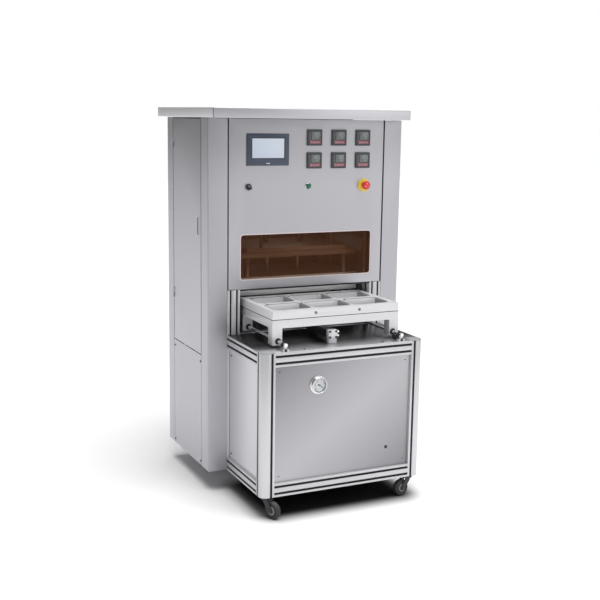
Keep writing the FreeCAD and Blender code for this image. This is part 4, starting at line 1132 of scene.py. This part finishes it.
cylinderSettings = {
    "cap": 0.025, "fittings": (0.760, 0.776),
    "nut": (0.0062, 0.005), "nutBack": 0.0062, "collet": (0.0046, 0.0024), "colletOut": 0.0006,
    "bandLeft": -0.031, "bandWide": 0.012, "band": (0.7848, 0.7855), "bandEnd": 0.026,
    "bolts": ((-0.040, -0.010), (0.755, 0.781)), "boltSize": (0.0028, 0.0014),
}
nuts, collets = [], []
for start in (cylinderLow.y, cylinderHigh.y - cylinderSettings["cap"]):
    for level in cylinderSettings["fittings"]:
        centre = Vector((cylinderHigh.x, start + cylinderSettings["cap"] / 2, level))
        back, out = Vector((cylinderSettings["nutBack"], 0, 0)), Vector((cylinderSettings["colletOut"], 0, 0))
        nuts.append(addDrum("fittingNut", centre - back, *cylinderSettings["nut"], "X", 6))
        softenEdges(nuts[-1], 0.0004, 1)
        collets.append(addDrum("collet", centre + out, *cylinderSettings["collet"], "X", 24))
        insetFaces(collets[-1], lambda c, n: n.x > 0.9, (0.0016, 0), (0.0001, -0.0016))
finishPiece(joinPieces(nuts, "fittingNuts"), "machine", finishes["bright"])
finishPiece(joinPieces(collets, "fittingCollets"), "machine", finishes["black"])
bandLeft, bandEnd = cylinderSettings["bandLeft"], cylinderSettings["bandEnd"]
band = addCube("cylinderBand", (bandLeft, cylinderLow.y + bandEnd, cylinderSettings["band"][0]),
               (bandLeft + cylinderSettings["bandWide"], cylinderHigh.y - bandEnd,
                cylinderSettings["band"][1]))
softenEdges(band, 0.0002, 1)
finishPiece(band, "machine", finishes["black"])
capBolts = []
boltsAcross, boltsUp = cylinderSettings["bolts"]
for across in boltsAcross:
    for level in boltsUp:
        capBolts.append(((across, cylinderLow.y, level), (0, -1, 0)))
        capBolts.append(((across, cylinderHigh.y, level), (0, 1, 0)))
addBolts("cylinderBolts", capBolts, *cylinderSettings["boltSize"], "machine", "black_plastic",
         finishes["darkSteel"])
print("bolts and fittings done")


# vacuum gauge

gaugeSettings = {"ticks": 51, "longEvery": 5, "sweep": 270, "start": -45, "reach": 0.0285, "short": 0.0016,
                 "long": 0.0032, "numbers": ("0", "-20", "-40", "-60", "-80", "-100"), "textSize": 0.0052,
                 "textIn": 0.0072, "ring": 0.0312, "ringWide": 0.0016}
softCopy("gauge_case", "gaugeCase", "machine", "bright", 0.0009, 3)
dialLow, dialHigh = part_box("gauge_dial")
dialCentre = (dialLow + dialHigh) / 2
dialFace = dialLow.y
marks = []


def dialAngle(number, count):
    return math.radians(gaugeSettings["start"] + number * gaugeSettings["sweep"] / (count - 1))


for number in range(gaugeSettings["ticks"]):
    angle = dialAngle(number, gaugeSettings["ticks"])
    isLong = number % gaugeSettings["longEvery"] == 0
    length = gaugeSettings["long"] if isLong else gaugeSettings["short"]
    half = 0.00035 if isLong else 0.0002
    reach = gaugeSettings["reach"]
    tick = addCube("tick", (reach - length, -0.00012, -half), (reach, 0.00012, half))
    tick.data.transform(Matrix.Translation((dialCentre.x, dialFace, dialCentre.z))
                        @ Matrix.Rotation(-angle, 4, "Y"))
    marks.append(tick)
for number, text in enumerate(gaugeSettings["numbers"]):
    angle = dialAngle(number, len(gaugeSettings["numbers"]))
    deselectAll()
    bpy.ops.object.text_add(location=(0, 0, 0))
    label = bpy.context.object
    label.data.body = text
    label.data.size = gaugeSettings["textSize"]
    label.data.align_x = "CENTER"
    label.data.align_y = "CENTER"
    label.data.extrude = 0.0001
    label.data.resolution_u = 2
    bpy.ops.object.convert(target="MESH")
    label = bpy.context.object
    reach = gaugeSettings["reach"] - gaugeSettings["textIn"]
    point = (dialCentre.x + reach * math.cos(angle), dialFace - 0.0001,
             dialCentre.z + reach * math.sin(angle))
    label.data.transform(Matrix.Translation(point) @ Matrix.Rotation(math.pi / 2, 4, "X"))
    marks.append(label)
finishPiece(joinPieces(marks, "gaugeMarks"), "machine", finishes["ink"])
ring = addDrum("dialRing", (dialCentre.x, dialFace - 0.00005, dialCentre.z), gaugeSettings["ring"], 0.0003,
               "Y", 64)
openRing(ring, 1, gaugeSettings["ringWide"])
finishPiece(ring, "machine", finishes["dialGrey"])
print("gauge done")


# casters: tyres and hub caps

hubSettings = {"out": 0.0117, "radius": 0.0195, "thick": 0.0032,
               "steps": ((0.0045, 0.0008), (0.0062, -0.0016))}
for word in ("left", "right"):
    wheelBody = word + "_wheel"
    wheelNode = "caster_wheel_" + word
    wheel = cadCopy(wheelNode, "casterWheel" + word.capitalize())
    softenEdges(wheel, 0.0009, 2, 35)
    finishPiece(wheel, wheelBody, finishes["tyre"], [wheelNode])
    joint = next(item for item in frame["joints"] if item["name"] == word + "_wheel_spin")
    centre = Vector(joint["pos_m"])
    axis = Vector(joint["axis"]).normalized()
    turn = axis.to_track_quat("Z", "Y").to_matrix().to_4x4()
    caps = []
    for end in (-1, 1):
        cap = addDrum("hubCap", (0, 0, end * hubSettings["out"]), hubSettings["radius"], hubSettings["thick"],
                      "Z", 40)
        insetFaces(cap, lambda c, n, end=end: n.z * end > 0.9, *hubSettings["steps"])
        softenEdges(cap, 0.0003, 1)
        cap.data.transform(Matrix.Translation(centre) @ turn)
        caps.append(cap)
    finishPiece(joinPieces(caps, "hubCaps" + word.capitalize()), wheelBody, finishes["hub"])
print("casters done")


# floor, light

floorSettings = {"size": 40, "color": (0.93, 0.93, 0.935)}
deselectAll()
bpy.ops.mesh.primitive_plane_add(size=floorSettings["size"], location=(0, 0, 0))
floor = bpy.context.object
floor.name = "studioFloor"
floorMaterial, floorTree, floorShader, floorVector = newMaterial("studioFloor")
grain = placeGroup(floorTree, mouldedGrain, floorVector, {
    "Grain Scale": 30, "Tint": (*floorSettings["color"], 1), "Contrast": 0.01, "Roughness": 0.8})
floorTree.links.new(grain.outputs["Color"], floorShader.inputs["Base Color"])
setShader(floorShader, {"Roughness": 0.8, "Specular IOR Level": 0.1})
floor.data.materials.append(floorMaterial)
# painted shadow: the floor's colour darkens under the base, where the lights don't reach
paintedShadowFootprint = {"x": 0.30, "y": (cabinetFront - 0.35, cabinetFront + 0.02), "fade": 0.15, "dark": 0.02}
tree, axes = objectAxes(floorMaterial)
middleY, halfY = sum(paintedShadowFootprint["y"]) / 2, (paintedShadowFootprint["y"][1] - paintedShadowFootprint["y"][0]) / 2
squares = []
for offset, half in ((axes["X"], paintedShadowFootprint["x"]), (minus(tree, axes["Y"], middleY), halfY)):
    beyond = minus(tree, mathNode(tree, "ABSOLUTE", offset, 0), half)
    past = mathNode(tree, "MAXIMUM", beyond, 0)
    squares.append(times(tree, past, past))
away = mathNode(tree, "SQRT", plus(tree, *squares), 0)
shadeColor(floorMaterial, rangeNode(tree, away, 0, paintedShadowFootprint["fade"], paintedShadowFootprint["dark"], 1.0))

lightSettings = {
    "backdrop": 1.0,
    "ambient": 0.24,
    "lamps": (  # name, place, target, width and height, watts
        ("keyLight", (2.6, -3.6, 2.6), (0, -0.2, 0.9), (2.2, 2.2), 30),
        ("fillLight", (-3.8, -2.6, 2.2), (-0.3, 0, 0.9), (2.4, 2.4), 6),
        ("cabinetLamp", (0, 0.10, 1.27), (0, 0.12, 1.0), (0.35, 0.35), 0.21),
        ("throatLamp", (0, cabinetFront + 0.02, 0.955), (0, cabinetFront + 0.09, 0.92), (0.6, 0.03), 0.12),
    ),
    "overhead": {"strength": 3.2, "angle": 50, "tilt": 9, "towards": 20},
}
world = bpy.data.worlds.new("studioWorld")
world.use_nodes = True
worldTree = world.node_tree
ambient = worldTree.nodes["Background"]
ambient.inputs["Color"].default_value = (1, 1, 1, 1)
ambient.inputs["Strength"].default_value = lightSettings["ambient"]
backdrop = worldTree.nodes.new("ShaderNodeBackground")
backdrop.inputs["Color"].default_value = (1, 1, 1, 1)
backdrop.inputs["Strength"].default_value = lightSettings["backdrop"]
path = worldTree.nodes.new("ShaderNodeLightPath")
chooser = worldTree.nodes.new("ShaderNodeMixShader")
worldTree.links.new(path.outputs["Is Camera Ray"], chooser.inputs[0])
worldTree.links.new(ambient.outputs[0], chooser.inputs[1])
worldTree.links.new(backdrop.outputs[0], chooser.inputs[2])
worldTree.links.new(chooser.outputs[0], worldTree.nodes["World Output"].inputs["Surface"])
scene.world = world
for name, place, target, size, watts in lightSettings["lamps"]:
    data = bpy.data.lights.new(name, "AREA")
    data.shape = "RECTANGLE"
    data.size, data.size_y = size
    data.energy = watts
    lamp = bpy.data.objects.new(name, data)
    scene.collection.objects.link(lamp)
    lamp.visible_camera = False
    lamp.location = place
    lamp.rotation_mode = "QUATERNION"
    lamp.rotation_quaternion = (Vector(target) - Vector(place)).to_track_quat("-Z", "Y")
overhead = lightSettings["overhead"]
data = bpy.data.lights.new("overheadLight", "SUN")
data.energy = overhead["strength"]
data.angle = math.radians(overhead["angle"])
lamp = bpy.data.objects.new("overheadLight", data)
scene.collection.objects.link(lamp)
lamp.rotation_euler = (math.radians(overhead["tilt"]), 0, math.radians(overhead["towards"]))
scene.view_settings.view_transform = "Standard"
print("stage and light done")
